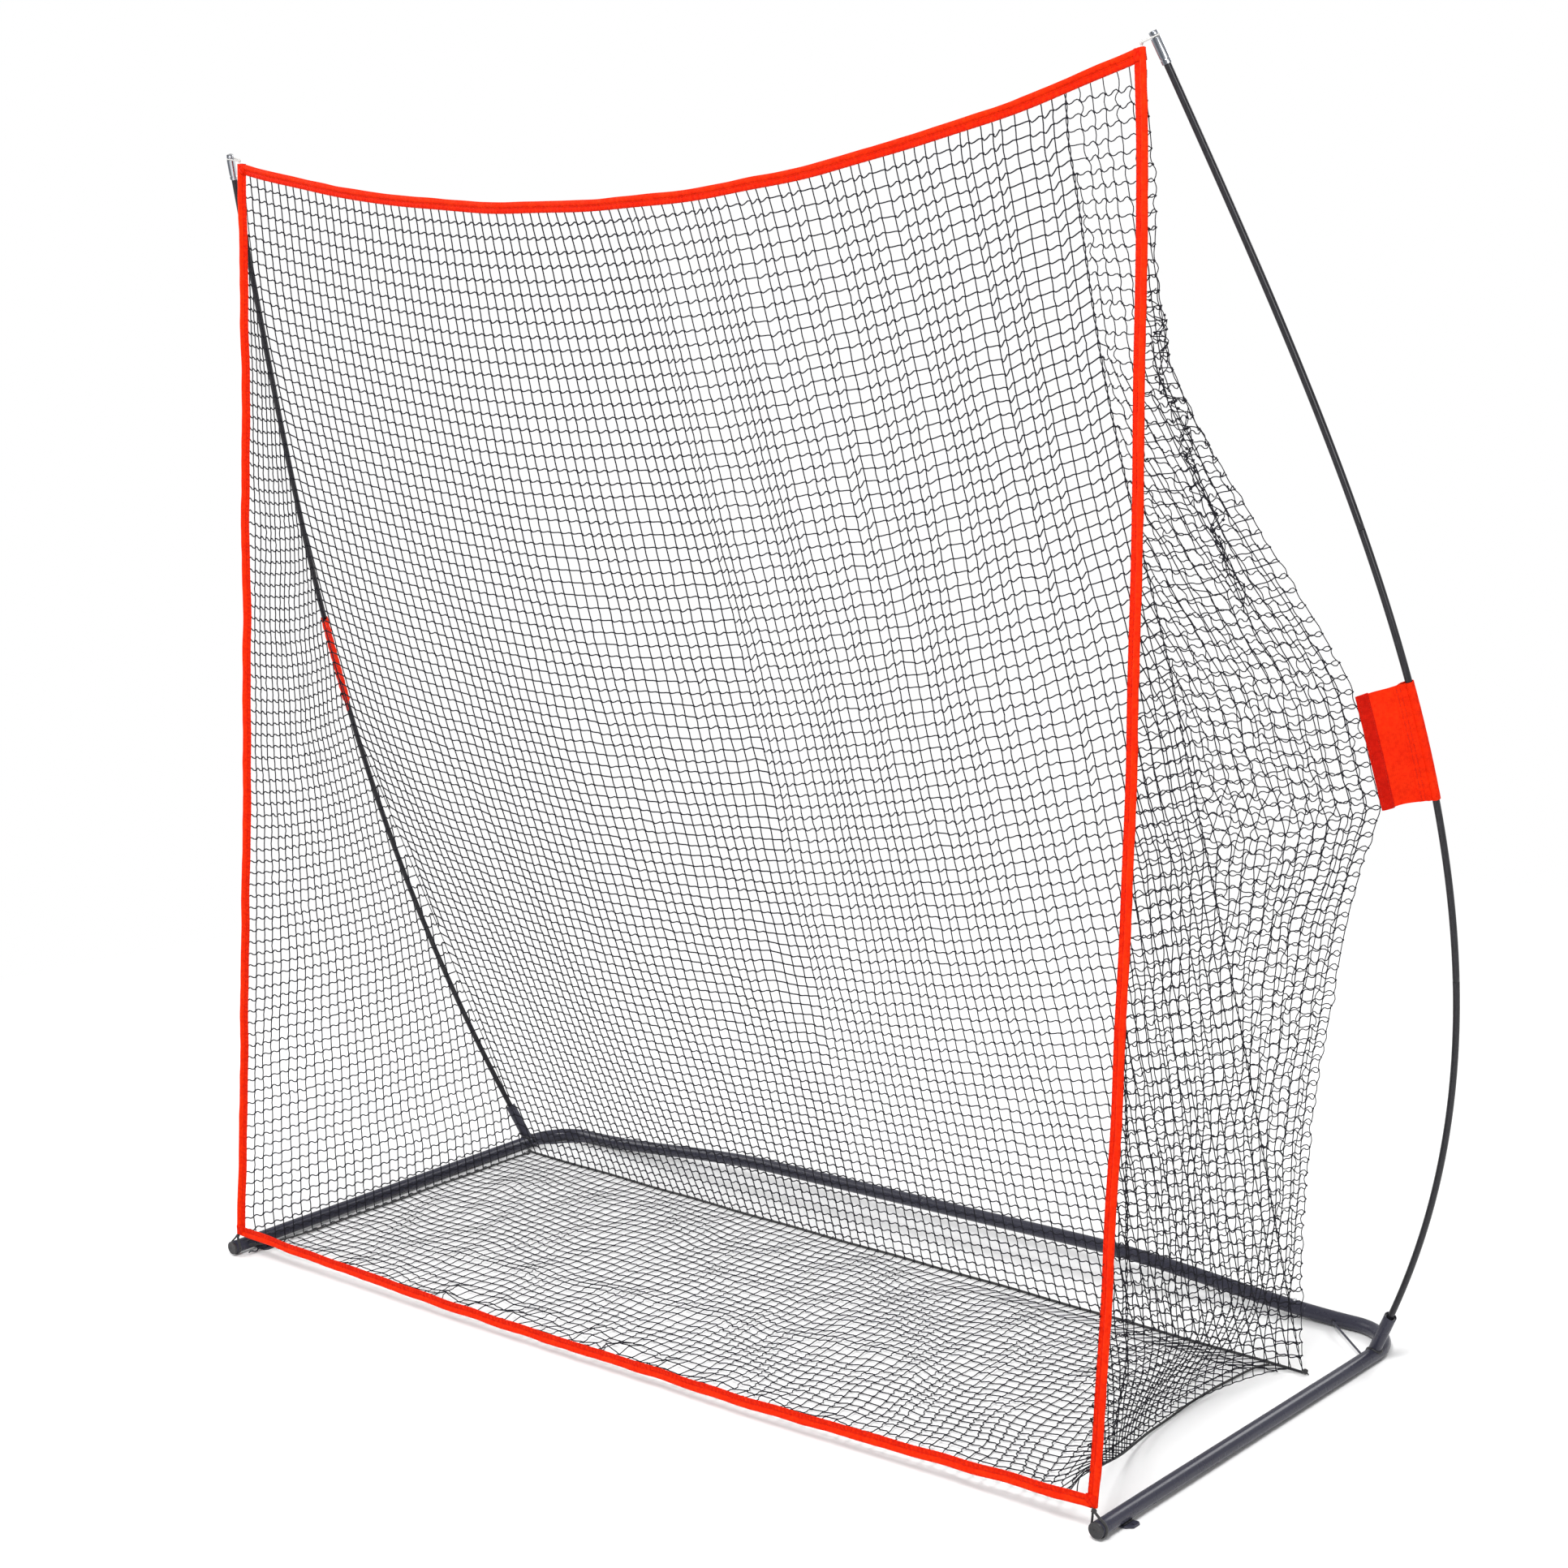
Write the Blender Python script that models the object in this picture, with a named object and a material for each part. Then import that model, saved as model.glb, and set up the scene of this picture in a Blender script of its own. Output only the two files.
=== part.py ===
"""Pocket-type pitching and hitting net on a bow frame.

The origin is on the floor, in the middle of the frame.  +Z is up, -Y is the
open front, and +X is on the right of someone in front who faces the net.
A U-shaped steel base lies on the floor.  Two fibreglass poles stand in leaning
sockets near its rear corners, bow outwards and come forward to their tips.
The tips and the front ends of the base stretch the net's bound edge.

Paths are given for the right side (+X); `side` is -1 or 1 and mirrors them.
"""
import math

import bmesh
import bpy
import numpy as np
from mathutils import Vector

for old in list(bpy.data.objects):
    bpy.data.objects.remove(old, do_unlink=True)

SIDES = (("left", -1.0), ("right", 1.0))
Y_AXIS = Vector((0, 1, 0))
Z_AXIS = Vector((0, 0, 1))
GAP = 0.0003                     # clearance between pieces that touch

# ------------------------------------------------------- dimensions: the base
REAR = 0.460                     # rear face of the crossbar
FRONT = 0.442                    # cap faces, this far towards -Y
TUBE_R = 0.0127                  # 1 inch tube
TUBE_WALL = 0.0012
TUBE_SEGMENTS = 16
TRACK = 1.050                    # half width between the side tube axes
REAR_Y = REAR - TUBE_R           # axis of the crossbar
REAR_Z = TUBE_R
BEND_R = 0.090
BEND_Y = REAR_Y - BEND_R         # where the corner bend starts
LEG_END_X = 0.862                # where the bent tube meets the crossbar
CROSS_RISE = 0.032               # the crossbar arches up between the corners
RISE_START_X, RISE_END_X = 0.955, 0.400
CROSS_LEVEL_X = 0.36             # the crossbar is straight from the middle to here

PLATE_T = 0.0030                 # foot plates under the front of the tubes
PLATE_Y = -0.372
PLATE_HALF_Y = 0.014
PLATE_OUT, PLATE_IN = 0.0225, 0.0340     # reach either side of the tube axis
PLATE_CLIP = 0.007               # basic size of the clipped corners
STAKE_HOLE_OUT, STAKE_HOLE_IN = 0.0165, 0.0245
STAKE_HOLE_R = 0.0026
FRONT_Z = PLATE_T + GAP + TUBE_R

CAP_FACE_T = 0.0045
CAP_R = TUBE_R + 0.0001
CAP_BEVEL = 0.0012
CAP_PLUG_R = TUBE_R - TUBE_WALL - GAP
CAP_PLUG_BORE_R = CAP_PLUG_R - 0.0016
CAP_PLUG_L = 0.016
CAP_FLOOR = CAP_FACE_T - 0.0008  # depth of the plug's hollow

# telescoping joints of the crossbar and their spring buttons
JOINT_SPIGOT_R = 0.0112
JOINT_SPIGOT_WALL = 0.0010
JOINT_SPIGOT_HALF = 0.048
BUTTON_INSET = 0.024             # outer buttons, from the joint towards the middle
CENTRE_BUTTON_X = 0.026
BUTTON_R = 0.0036
BUTTON_BASE = 0.0062             # above the tube axis
BUTTON_TOP = TUBE_R + 0.0030
BUTTON_HOLE_R = 0.0040
BUTTON_HOLE_LOW, BUTTON_HOLE_HIGH = 0.006, 0.020
SPRING_HALF_W, SPRING_HALF_T = 0.0030, 0.0004
LEAF_HEIGHT = 0.0059             # above the tube axis, under the button
LEAF_DROP = 0.0010               # the leaf slopes down by this much
LEAF_STATIONS = (-0.006, 0.0, 0.006, 0.014, 0.022)
CLIP_LOW = -0.0080
# (distance from the button, height above the tube axis)
CLIP_PATH = ((-0.006, CLIP_LOW), (0.010, CLIP_LOW), (0.022, CLIP_LOW + 0.0004),
             (0.0285, CLIP_LOW + 0.0030), (0.0305, -0.0020), (0.0285, 0.0012),
             (0.0262, 0.0018))

BRACE_R = 0.0020                 # thin rod across the inside of each bend
BRACE_CLEAR = TUBE_R + 0.0024    # from the axes of the tubes it joins
BRACE_X, BRACE_Y = 0.921, 0.335  # its rear end and its front end
BRACE_REAR_RISE, BRACE_FRONT_RISE = 0.0015, 0.0012

# ------------------------------------------------------ dimensions: the poles
# control points of the cubic centreline, from the side tube to the tip
POLE_A = Vector((1.049, 0.351, 0.020))
POLE_B = Vector((1.469, 0.253, 0.753))
POLE_C = Vector((1.258, 0.040, 1.441))
POLE_D = Vector((1.066, -0.181, 2.124))
POLE_R = 0.0055
POLE_BORE_R = 0.0038
POLE_SPIGOT_R = 0.0028
POLE_SPIGOT_HALF = 0.045
POLE_JOINTS = (0.335, 0.665)     # fractions of the length where sections meet
ARC_STEPS = 400
TANGENT_REACH = 0.004

# distances "S" run along the pole or the socket axis from the pole's origin
POLE_START_S = 0.0375
PIVOT_S = 0.060                  # the socket axis touches the pole's curve here
SOCKET_R = 0.0105
SOCKET_BORE_R = 0.0093
SOCKET_LOW_S, SOCKET_TOP_S = -0.004, 0.082
BUSH_R = 0.0090
BUSH_BORE_R = 0.0066
BUSH_LOW_S, BUSH_TOP_S = 0.0330, 0.0795
BUSH_FLOOR_S = BUSH_LOW_S + 0.003
COPE_R = TUBE_R + 0.0005
COPE_FRONT_Y, COPE_REAR_Y = BEND_Y - 0.12, BEND_Y + 0.03
COPE_REAR_Z = REAR_Z - 0.00012

# heights along the tip cap's axis are measured from the pole's end
TIP_R = 0.0074
TIP_BORE_R = 0.0061
TIP_SKIRT = 0.036
TIP_BORE_END = 0.0006
TIP_HEAD_R = 0.0066
TIP_HEAD_BEVEL = 0.001
TIP_NECK_R = 0.0040
TIP_NECK_START = 0.0030
TIP_NECK_H = 0.0040
TIP_NECK_END = TIP_NECK_START + TIP_NECK_H
TIP_END = TIP_NECK_END + 0.0055

# -------------------------------------------------------- dimensions: the net
BAND_W, BAND_T = 0.020, 0.0095   # bound edge of the net
TOP_CORNER = Vector((1.037, -0.179, 2.108))
TOP_SAG = 0.133
BOTTOM_CORNER = Vector((1.035, -0.4267, 0.052))
BOTTOM_SAG = 0.020
EDGE_BULGE = Vector((0.010, 0.020, 0.0))
EDGE_START_Z = 0.098             # lower ends of the side borders
EDGE_TOP_Z = TOP_CORNER.z - BAND_W / 2 - 0.0045

TOP_CORD_R = 0.0014              # loops that tie the corners to the frame
TOP_CORD_CORNER = Vector((0.0045, 0, BAND_W * 0.5 + 0.002))
ELASTIC_T, ELASTIC_HALF_W = 0.0018, 0.0024
ELASTIC_BEHIND_CAP = 0.0055
ELASTIC_OUT, ELASTIC_DROP = 0.006, BAND_W / 2 + 0.0022
LOOP_TIP_HALF, LOOP_TIP_REACH = 0.0018, 0.0012

SLEEVE_T0, SLEEVE_T1 = 0.464, 0.5515     # curve parameters of the sleeve's ends
SLEEVE_W = 0.079
SLEEVE_CLOTH = 0.0014
SLEEVE_BEND_R = POLE_R + 0.0006 + SLEEVE_CLOTH / 2
SLEEVE_DIR = Vector((-0.792, -0.610, 0.0)).normalized()
SLEEVE_DROP = Vector((0, 0, -0.011))     # fall of the flap over its width

NET_T = 0.0016
NET_ROWS = 12
NET_BEHIND_BAND = 0.004
NET_BELOW_BAND = BAND_W / 2 + 0.003
# rear corners of the floor panel; it is laced a little skew in the frame
FLOOR_CORNER = {1.0: Vector((0.985, 0.239, 0.0)), -1.0: Vector((1.010, 0.320, 0.0))}
SEAM_END_Z = 0.032
# the right rear corner hangs slack, the left one is drawn nearly straight
SEAM_SLACK = {1.0: Vector((-0.055, -0.030, 0.0)), -1.0: Vector((0.018, 0.016, 0.0))}
SEAM_TOP_SLACK = Vector((-0.030, -0.010, 0.0))
SEAM_OFF_SLEEVE = 0.004
SEAM_SLEEVE_TOP, SEAM_SLEEVE_LOW = 0.455, 0.545    # seam fractions at the sleeve
BACK_TRIM = 0.006                # the back net stops short of the seam
BACK_LOW_BEHIND, BACK_LOW_Z = 0.004, 0.030
BACK_BELLY = Vector((0, 0.025, -0.02))
SIDE_NET_LOW_Z = EDGE_START_Z + 0.004
SIDE_NET_OFF_BAND = Vector((0.0, BAND_T / 2 + 0.0030, 0.0))
SIDE_NET_TOP_STEP = Vector((0.004, 0.016, -0.012))
SIDE_NET_TRIM = 0.004
SIDE_NET_OUT = Vector((0.006, 0, 0.0))

CORD_R = 0.0020
CORD_Z = 0.0062
REAR_CORD_BEHIND = 0.0045        # rear cord, behind the floor corners
SIDE_CORD_SHORT = 0.006          # side cords end in front of them
FLOOR_FRONT_Y = -0.410
FLOOR_FRONT_LEFT_X = 1.022       # the left cord is taut and runs straight
FLOOR_FRONT_RIGHT_X, FLOOR_REAR_RIGHT_X = 1.000, 0.930
FLOOR_WAIST_X = 0.898            # the slack right cord pulls in to here
FLOOR_WAIST_POWER = 0.8          # below 1 makes the waist fuller
FLOOR_NET_INSET = CORD_R + 0.0030


# ------------------------------------------------------------------ materials
def material(name, colour, roughness, metallic=0.0):
    mat = bpy.data.materials.new(name)
    mat.use_nodes = True
    inputs = mat.node_tree.nodes["Principled BSDF"].inputs
    inputs["Base Color"].default_value = (*colour, 1.0)
    inputs["Roughness"].default_value = roughness
    inputs["Metallic"].default_value = metallic
    return mat


GUNMETAL = material("gunmetal_powder_coat", colour=(0.065, 0.066, 0.080),
                    roughness=0.38, metallic=0.45)
FIBREGLASS = material("black_fibreglass", colour=(0.012, 0.012, 0.013), roughness=0.22)
CHROME = material("chrome", colour=(0.80, 0.81, 0.82), roughness=0.12, metallic=1.0)
STEEL = material("spring_steel", colour=(0.55, 0.56, 0.58), roughness=0.30, metallic=1.0)
BLACK_PLASTIC = material("black_plastic", colour=(0.020, 0.020, 0.022), roughness=0.50)
BLACK_ELASTIC = material("black_elastic", colour=(0.015, 0.015, 0.016), roughness=0.85)
WHITE_CORD = material("white_cord", colour=(0.78, 0.77, 0.75), roughness=0.75)
ORANGE_CLOTH = material("orange_red_cloth", colour=(0.90, 0.045, 0.006), roughness=0.70)
NET_TWINE = material("net_twine", colour=(0.028, 0.028, 0.032), roughness=0.80)


# ------------------------------------------------------- numbers and vectors
def clamp(x):
    return min(max(x, 0.0), 1.0)


def smoothstep(x):
    x = clamp(x)
    return x * x * (3 - 2 * x)


def hump(x):
    """A parabola: 0 at the ends of 0..1 and 1 in the middle."""
    return 4 * x * (1 - x)


def spread(start, end, steps):
    """Evenly spaced numbers or points, both ends included."""
    return [start + (end - start) * k / steps for k in range(steps + 1)]


def mirrored(point, side):
    return Vector((point.x * side, point.y, point.z))


def mirrored_all(points, side):
    return [mirrored(point, side) for point in points]


def path_tangents(points, closed=False):
    count = len(points)
    tangents = []
    for i in range(count):
        if closed:
            before, after = points[i - 1], points[(i + 1) % count]
        else:
            before, after = points[max(i - 1, 0)], points[min(i + 1, count - 1)]
        tangents.append((after - before).normalized())
    return tangents


def square_to(vector, direction):
    """The unit part of a vector at right angles to a unit direction."""
    return (vector - direction * vector.dot(direction)).normalized()


def reference_for(axis):
    return Z_AXIS if abs(axis.z) < 0.95 else Vector((1, 0, 0))


def frames(points, closed=False):
    """Side and normal at each point, carried along without twist."""
    tangents = path_tangents(points, closed)
    normal = square_to(reference_for(tangents[0]), tangents[0])
    out = []
    for i, tangent in enumerate(tangents):
        if i:
            turn = tangents[i - 1].rotation_difference(tangent)
            normal = square_to(turn @ normal, tangent)
        out.append((tangent.cross(normal), normal))
    return out


# -------------------------------------------------------------- mesh helpers
def add_object(name, build, mat, smooth=True):
    bmesh.ops.recalc_face_normals(build, faces=build.faces[:])
    mesh = bpy.data.meshes.new(name)
    build.to_mesh(mesh)
    build.free()
    mesh.materials.append(mat)
    body = bpy.data.objects.new(name, mesh)
    bpy.context.scene.collection.objects.link(body)
    if smooth:
        mesh.shade_smooth()
        mesh.set_sharp_from_angle(angle=math.radians(35))
    return body


def skin(rings, closed_path=False):
    """A closed body through rings of equal length, capped at open ends."""
    build = bmesh.new()
    rows = [[build.verts.new(point) for point in ring] for ring in rings]
    count = len(rows[0])
    pairs = list(zip(rows, rows[1:]))
    if closed_path:
        pairs.append((rows[-1], rows[0]))
    for low, high in pairs:
        for j in range(count):
            j2 = (j + 1) % count
            build.faces.new((low[j], low[j2], high[j2], high[j]))
    if not closed_path:
        build.faces.new(list(reversed(rows[0])))
        build.faces.new(rows[-1])
    return build


def round_rings(points, radius, segments, closed=False):
    angles = [2 * math.pi * k / segments for k in range(segments)]
    return [[point + side * (radius * math.sin(angle)) - normal * (radius * math.cos(angle))
             for angle in angles]
            for point, (side, normal) in zip(points, frames(points, closed))]


def rod(name, points, radius, mat, segments, closed=False):
    return add_object(name, skin(round_rings(points, radius, segments, closed), closed), mat)


def pipe(name, points, radius, bore, mat, segments=TUBE_SEGMENTS):
    """A tube with an open bore: outside out, then back along the inside."""
    outer = round_rings(points, radius, segments)
    inner = round_rings(points, bore, segments)
    return add_object(name, skin(outer + inner[::-1], True), mat)


def sweep(name, points, axes, section, mat, closed=False):
    """Sweep a 2-D section along points, each with its (side, normal) axes."""
    rings = [[point + side * a + normal * b for a, b in section]
             for point, (side, normal) in zip(points, axes)]
    return add_object(name, skin(rings, closed), mat)


def rectangle(half_side, half_normal):
    return [(-half_side, -half_normal), (half_side, -half_normal),
            (half_side, half_normal), (-half_side, half_normal)]


def turned(name, origin, axis, profile, mat, segments):
    """A body turned about an axis.

    The profile's (radius, height) points start and end at radius 0.
    """
    axis = axis.normalized()
    across = square_to(reference_for(axis), axis)
    third = axis.cross(across)
    build = bmesh.new()
    rows = []
    for radius, height in profile:
        centre = origin + axis * height
        if radius == 0.0:
            rows.append([build.verts.new(centre)])
            continue
        row = []
        for k in range(segments):
            angle = 2 * math.pi * k / segments
            row.append(build.verts.new(centre + across * (radius * math.cos(angle))
                                       + third * (radius * math.sin(angle))))
        rows.append(row)
    for low, high in zip(rows, rows[1:]):
        for k in range(segments):
            k2 = (k + 1) % segments
            if len(low) == 1:
                build.faces.new((low[0], high[k2], high[k]))
            elif len(high) == 1:
                build.faces.new((low[k], low[k2], high[0]))
            else:
                build.faces.new((low[k], low[k2], high[k2], high[k]))
    return add_object(name, build, mat)


def net_panel(name, rows):
    """A thin closed slab whose middle surface passes through a grid."""
    last_row, last = len(rows) - 1, len(rows[0]) - 1
    build = bmesh.new()
    top, low = [], []
    for i, row in enumerate(rows):
        top.append([])
        low.append([])
        for j, point in enumerate(row):
            along = row[min(j + 1, last)] - row[max(j - 1, 0)]
            across = rows[min(i + 1, last_row)][j] - rows[max(i - 1, 0)][j]
            offset = along.cross(across).normalized() * (NET_T / 2)
            top[i].append(build.verts.new(point + offset))
            low[i].append(build.verts.new(point - offset))
    for i in range(last_row):
        for j in range(last):
            build.faces.new((top[i][j], top[i][j + 1], top[i + 1][j + 1], top[i + 1][j]))
            build.faces.new((low[i][j], low[i + 1][j], low[i + 1][j + 1], low[i][j + 1]))
    rim = ([(0, j) for j in range(last + 1)]
           + [(i, last) for i in range(1, last_row + 1)]
           + [(last_row, j) for j in range(last - 1, -1, -1)]
           + [(i, 0) for i in range(last_row - 1, 0, -1)])
    for (i, j), (i2, j2) in zip(rim, rim[1:] + rim[:1]):
        build.faces.new((top[i][j], low[i][j], low[i2][j2], top[i2][j2]))
    add_object(name, build, NET_TWINE)


def make_helper(body):
    """Hide a body that only serves as a boolean operand."""
    body.hide_render = True
    body.display_type = 'WIRE'


def cylinder_cutter(name, start, end, radius, segments):
    build = skin(round_rings([start, end], radius, segments))
    body = add_object(name, build, BLACK_PLASTIC, smooth=False)
    make_helper(body)
    return body


def boolean(body, tool, name, operation):
    modifier = body.modifiers.new(name, 'BOOLEAN')
    modifier.operation = operation
    modifier.object = tool
    modifier.solver = 'EXACT'


def cut(body, tool):
    boolean(body, tool, "cut_" + tool.name, 'DIFFERENCE')


# ----------------------------------------------------------------- base tubes
def side_z(y):
    """The side tube rests on its plate in front and on the floor behind."""
    return FRONT_Z + (REAR_Z - FRONT_Z) * clamp((y - PLATE_Y) / (BEND_Y - PLATE_Y))


def in_crossbar(x, height=0.0):
    """A point above the crossbar's axis, following its arch."""
    rise = smoothstep((RISE_START_X - abs(x)) / (RISE_START_X - RISE_END_X))
    return Vector((x, REAR_Y, REAR_Z + CROSS_RISE * rise + height))


def side_path():
    path = [Vector((TRACK, y, side_z(y)))
            for y in (-FRONT + CAP_FACE_T + GAP, PLATE_Y, 0.0, BEND_Y)]
    for angle in spread(0.0, math.radians(90), 6)[1:]:
        path.append(Vector((TRACK - BEND_R + BEND_R * math.cos(angle),
                            BEND_Y + BEND_R * math.sin(angle), REAR_Z)))
    return path + [in_crossbar(x) for x in (0.930, 0.900, LEG_END_X + GAP)]


def base_tubes(word, side):
    cross_path = [in_crossbar(x)
                  for x in [GAP] + spread(CROSS_LEVEL_X, LEG_END_X - GAP, 8)]
    for part, path in (("_side_tube", side_path()), ("_crossbar_tube", cross_path)):
        pipe(word + part, mirrored_all(path, side), TUBE_R, TUBE_R - TUBE_WALL, GUNMETAL)


# ----------------------------------------------------------- crossbar joints
def crossbar_joint(word, joint_x, button_x, tube_word, away):
    """Spigot and spring button; the clip runs from the button in direction away."""
    xs = spread(joint_x - JOINT_SPIGOT_HALF, joint_x + JOINT_SPIGOT_HALF, 2)
    spigot = pipe(word + "_joint_spigot", [in_crossbar(x) for x in xs],
                  JOINT_SPIGOT_R, JOINT_SPIGOT_R - JOINT_SPIGOT_WALL, GUNMETAL)
    hole = cylinder_cutter(word + "_button_hole", in_crossbar(button_x, BUTTON_HOLE_LOW),
                           in_crossbar(button_x, BUTTON_HOLE_HIGH), BUTTON_HOLE_R, 24)
    cut(spigot, hole)
    cut(bpy.data.objects[tube_word + "_crossbar_tube"], hole)

    # stud with a domed head, joined to the spring leaf under it
    profile = [(0.0, BUTTON_BASE), (BUTTON_R, BUTTON_BASE), (BUTTON_R, BUTTON_TOP - 0.0014),
               (BUTTON_R * 0.86, BUTTON_TOP - 0.0006), (BUTTON_R * 0.5, BUTTON_TOP - 0.0001),
               (0.0, BUTTON_TOP)]
    stud = turned(word + "_joint_button", in_crossbar(button_x), Z_AXIS, profile, STEEL, 20)
    spring_section = rectangle(SPRING_HALF_W, SPRING_HALF_T)
    leaf_path = [in_crossbar(button_x + away * a,
                             LEAF_HEIGHT - LEAF_DROP * smoothstep((abs(a) - 0.004) / 0.02))
                 for a in LEAF_STATIONS]
    leaf = sweep(word + "_leaf", leaf_path, [(Y_AXIS, Z_AXIS)] * len(leaf_path),
                 spring_section, STEEL)
    make_helper(leaf)
    boolean(stud, leaf, "leaf", 'UNION')

    # the rest of the clip: its lower leg and the bend
    clip_path = [in_crossbar(button_x + away * a, height) for a, height in CLIP_PATH]
    sweep(word + "_joint_clip", clip_path, frames(clip_path), spring_section, STEEL)


# -------------------------------------------------- end caps and foot plates
def end_cap(word, side):
    profile = [(0.0, 0.0), (TUBE_R - CAP_BEVEL, 0.0), (CAP_R, CAP_BEVEL),
               (CAP_R, CAP_FACE_T), (CAP_PLUG_R, CAP_FACE_T), (CAP_PLUG_R, CAP_PLUG_L),
               (CAP_PLUG_BORE_R, CAP_PLUG_L), (CAP_PLUG_BORE_R, CAP_FLOOR),
               (0.0, CAP_FLOOR)]
    turned(word + "_end_cap", Vector((TRACK * side, -FRONT, FRONT_Z)), Y_AXIS,
           profile, BLACK_PLASTIC, 20)


def foot_plate(word, side):
    """Flat plate across the tube, with clipped corners and two stake holes."""
    clip = PLATE_CLIP
    y0, y1 = PLATE_Y - PLATE_HALF_Y, PLATE_Y + PLATE_HALF_Y
    x0, x1 = TRACK - PLATE_IN, TRACK + PLATE_OUT
    outline = [(x0 + clip, y0), (x1 - clip * 1.6, y0),
               (x1, y0 + clip * 1.3), (x1, y1 - clip * 0.6),
               (x1 - clip * 0.6, y1), (x0 + clip * 0.6, y1),
               (x0, y1 - clip * 0.6), (x0, y0 + clip)]
    build = bmesh.new()
    face = build.faces.new([build.verts.new(Vector((x * side, y, 0.0))) for x, y in outline])
    extruded = bmesh.ops.extrude_face_region(build, geom=[face])
    for item in extruded["geom"]:
        if isinstance(item, bmesh.types.BMVert):
            item.co.z += PLATE_T
    plate = add_object(word + "_foot_plate", build, BLACK_PLASTIC, smooth=False)
    for tag, x in (("outer", TRACK + STAKE_HOLE_OUT), ("inner", TRACK - STAKE_HOLE_IN)):
        hole = cylinder_cutter(word + "_stake_hole_" + tag,
                               Vector((x * side, PLATE_Y, -0.002)),
                               Vector((x * side, PLATE_Y, 0.006)), STAKE_HOLE_R, 16)
        cut(plate, hole)


def corner_brace(word, side):
    rear = Vector((BRACE_X, REAR_Y - BRACE_CLEAR, REAR_Z + BRACE_REAR_RISE))
    front = Vector((TRACK - BRACE_CLEAR, BRACE_Y, side_z(BRACE_Y) + BRACE_FRONT_RISE))
    rod(word + "_corner_brace", mirrored_all([rear, front], side), BRACE_R, GUNMETAL, 12)


# ------------------------------------------------------------ pole centreline
def pole_curve(t):
    """The pole's cubic at curve parameter t, 0 to 1."""
    u = 1.0 - t
    return (POLE_A * u ** 3 + POLE_B * (3 * u * u * t)
            + POLE_C * (3 * u * t * t) + POLE_D * t ** 3)


# curve parameters, and the arc length reached at each
ARC_T = [k / ARC_STEPS for k in range(ARC_STEPS + 1)]
ARC_S = [0.0]
for t0, t1 in zip(ARC_T, ARC_T[1:]):
    ARC_S.append(ARC_S[-1] + (pole_curve(t1) - pole_curve(t0)).length)
POLE_LENGTH = ARC_S[-1]


def pole_at(distance):
    return pole_curve(float(np.interp(distance, ARC_S, ARC_T)))


def pole_tangent(distance):
    ahead = pole_at(min(distance + TANGENT_REACH, POLE_LENGTH))
    behind = pole_at(max(distance - TANGENT_REACH, 0.0))
    return (ahead - behind).normalized()


def pole_tip(side):
    """End point and direction of a pole."""
    return (mirrored(pole_at(POLE_LENGTH), side),
            mirrored(pole_tangent(POLE_LENGTH), side))


SOCKET_AXIS = pole_tangent(PIVOT_S)


def on_socket(distance):
    return pole_at(PIVOT_S) + SOCKET_AXIS * (distance - PIVOT_S)


# ---------------------------------------------------------- poles and sockets
def pole_socket(word, side):
    """Stub coped to the side tube it stands on, with a plastic bush inside."""
    path = [on_socket(s) for s in (SOCKET_LOW_S, SOCKET_TOP_S)]
    stub = pipe(word + "_pole_socket", mirrored_all(path, side),
                SOCKET_R, SOCKET_BORE_R, GUNMETAL)
    cope = cylinder_cutter(word + "_socket_cope",
                           Vector((TRACK * side, COPE_FRONT_Y, side_z(COPE_FRONT_Y))),
                           Vector((TRACK * side, COPE_REAR_Y, COPE_REAR_Z)), COPE_R, 32)
    cut(stub, cope)
    profile = [(0.0, BUSH_LOW_S), (BUSH_R, BUSH_LOW_S), (BUSH_R, BUSH_TOP_S),
               (BUSH_BORE_R, BUSH_TOP_S), (BUSH_BORE_R, BUSH_FLOOR_S), (0.0, BUSH_FLOOR_S)]
    turned(word + "_socket_bush", mirrored(on_socket(0.0), side),
           mirrored(SOCKET_AXIS, side), profile, BLACK_PLASTIC, 16)


def pole(word, side):
    """Three hollow sections, and the spigots inside their two joints."""
    joints = [fraction * POLE_LENGTH for fraction in POLE_JOINTS]
    sections = (("lower", POLE_START_S, joints[0] - GAP / 2),
                ("middle", joints[0] + GAP / 2, joints[1] - GAP / 2),
                ("upper", joints[1] + GAP / 2, POLE_LENGTH))
    for tag, start, end in sections:
        path = [mirrored(pole_at(s), side) for s in spread(start, end, 8)]
        pipe(word + "_pole_" + tag, path, POLE_R, POLE_BORE_R, FIBREGLASS, 10)
    for tag, joint in zip(("lower", "upper"), joints):
        stations = spread(joint - POLE_SPIGOT_HALF, joint + POLE_SPIGOT_HALF, 3)
        path = [mirrored(pole_at(s), side) for s in stations]
        rod(word + "_pole_spigot_" + tag, path, POLE_SPIGOT_R, STEEL, 10)


def tip_cap(word, side):
    """Bored skirt over the pole, neck for the cord, head."""
    tip, direction = pole_tip(side)
    profile = [(0.0, TIP_BORE_END), (TIP_BORE_R, TIP_BORE_END), (TIP_BORE_R, -TIP_SKIRT),
               (TIP_R, -TIP_SKIRT), (TIP_R, TIP_NECK_START), (TIP_NECK_R, TIP_NECK_START),
               (TIP_NECK_R, TIP_NECK_END), (TIP_HEAD_R, TIP_NECK_END),
               (TIP_HEAD_R, TIP_END - TIP_HEAD_BEVEL),
               (TIP_HEAD_R - TIP_HEAD_BEVEL, TIP_END), (0.0, TIP_END)]
    turned(word + "_tip_cap", tip, direction, profile, CHROME, 16)


# -------------------------------------------------------- bound edge of the net
def sagging_edge(x, corner, sag):
    """A point on the top or bottom edge, which hangs between its two corners."""
    k = x / corner.x
    return Vector((x, corner.y, corner.z - sag * (1.0 - k * k)))


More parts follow.
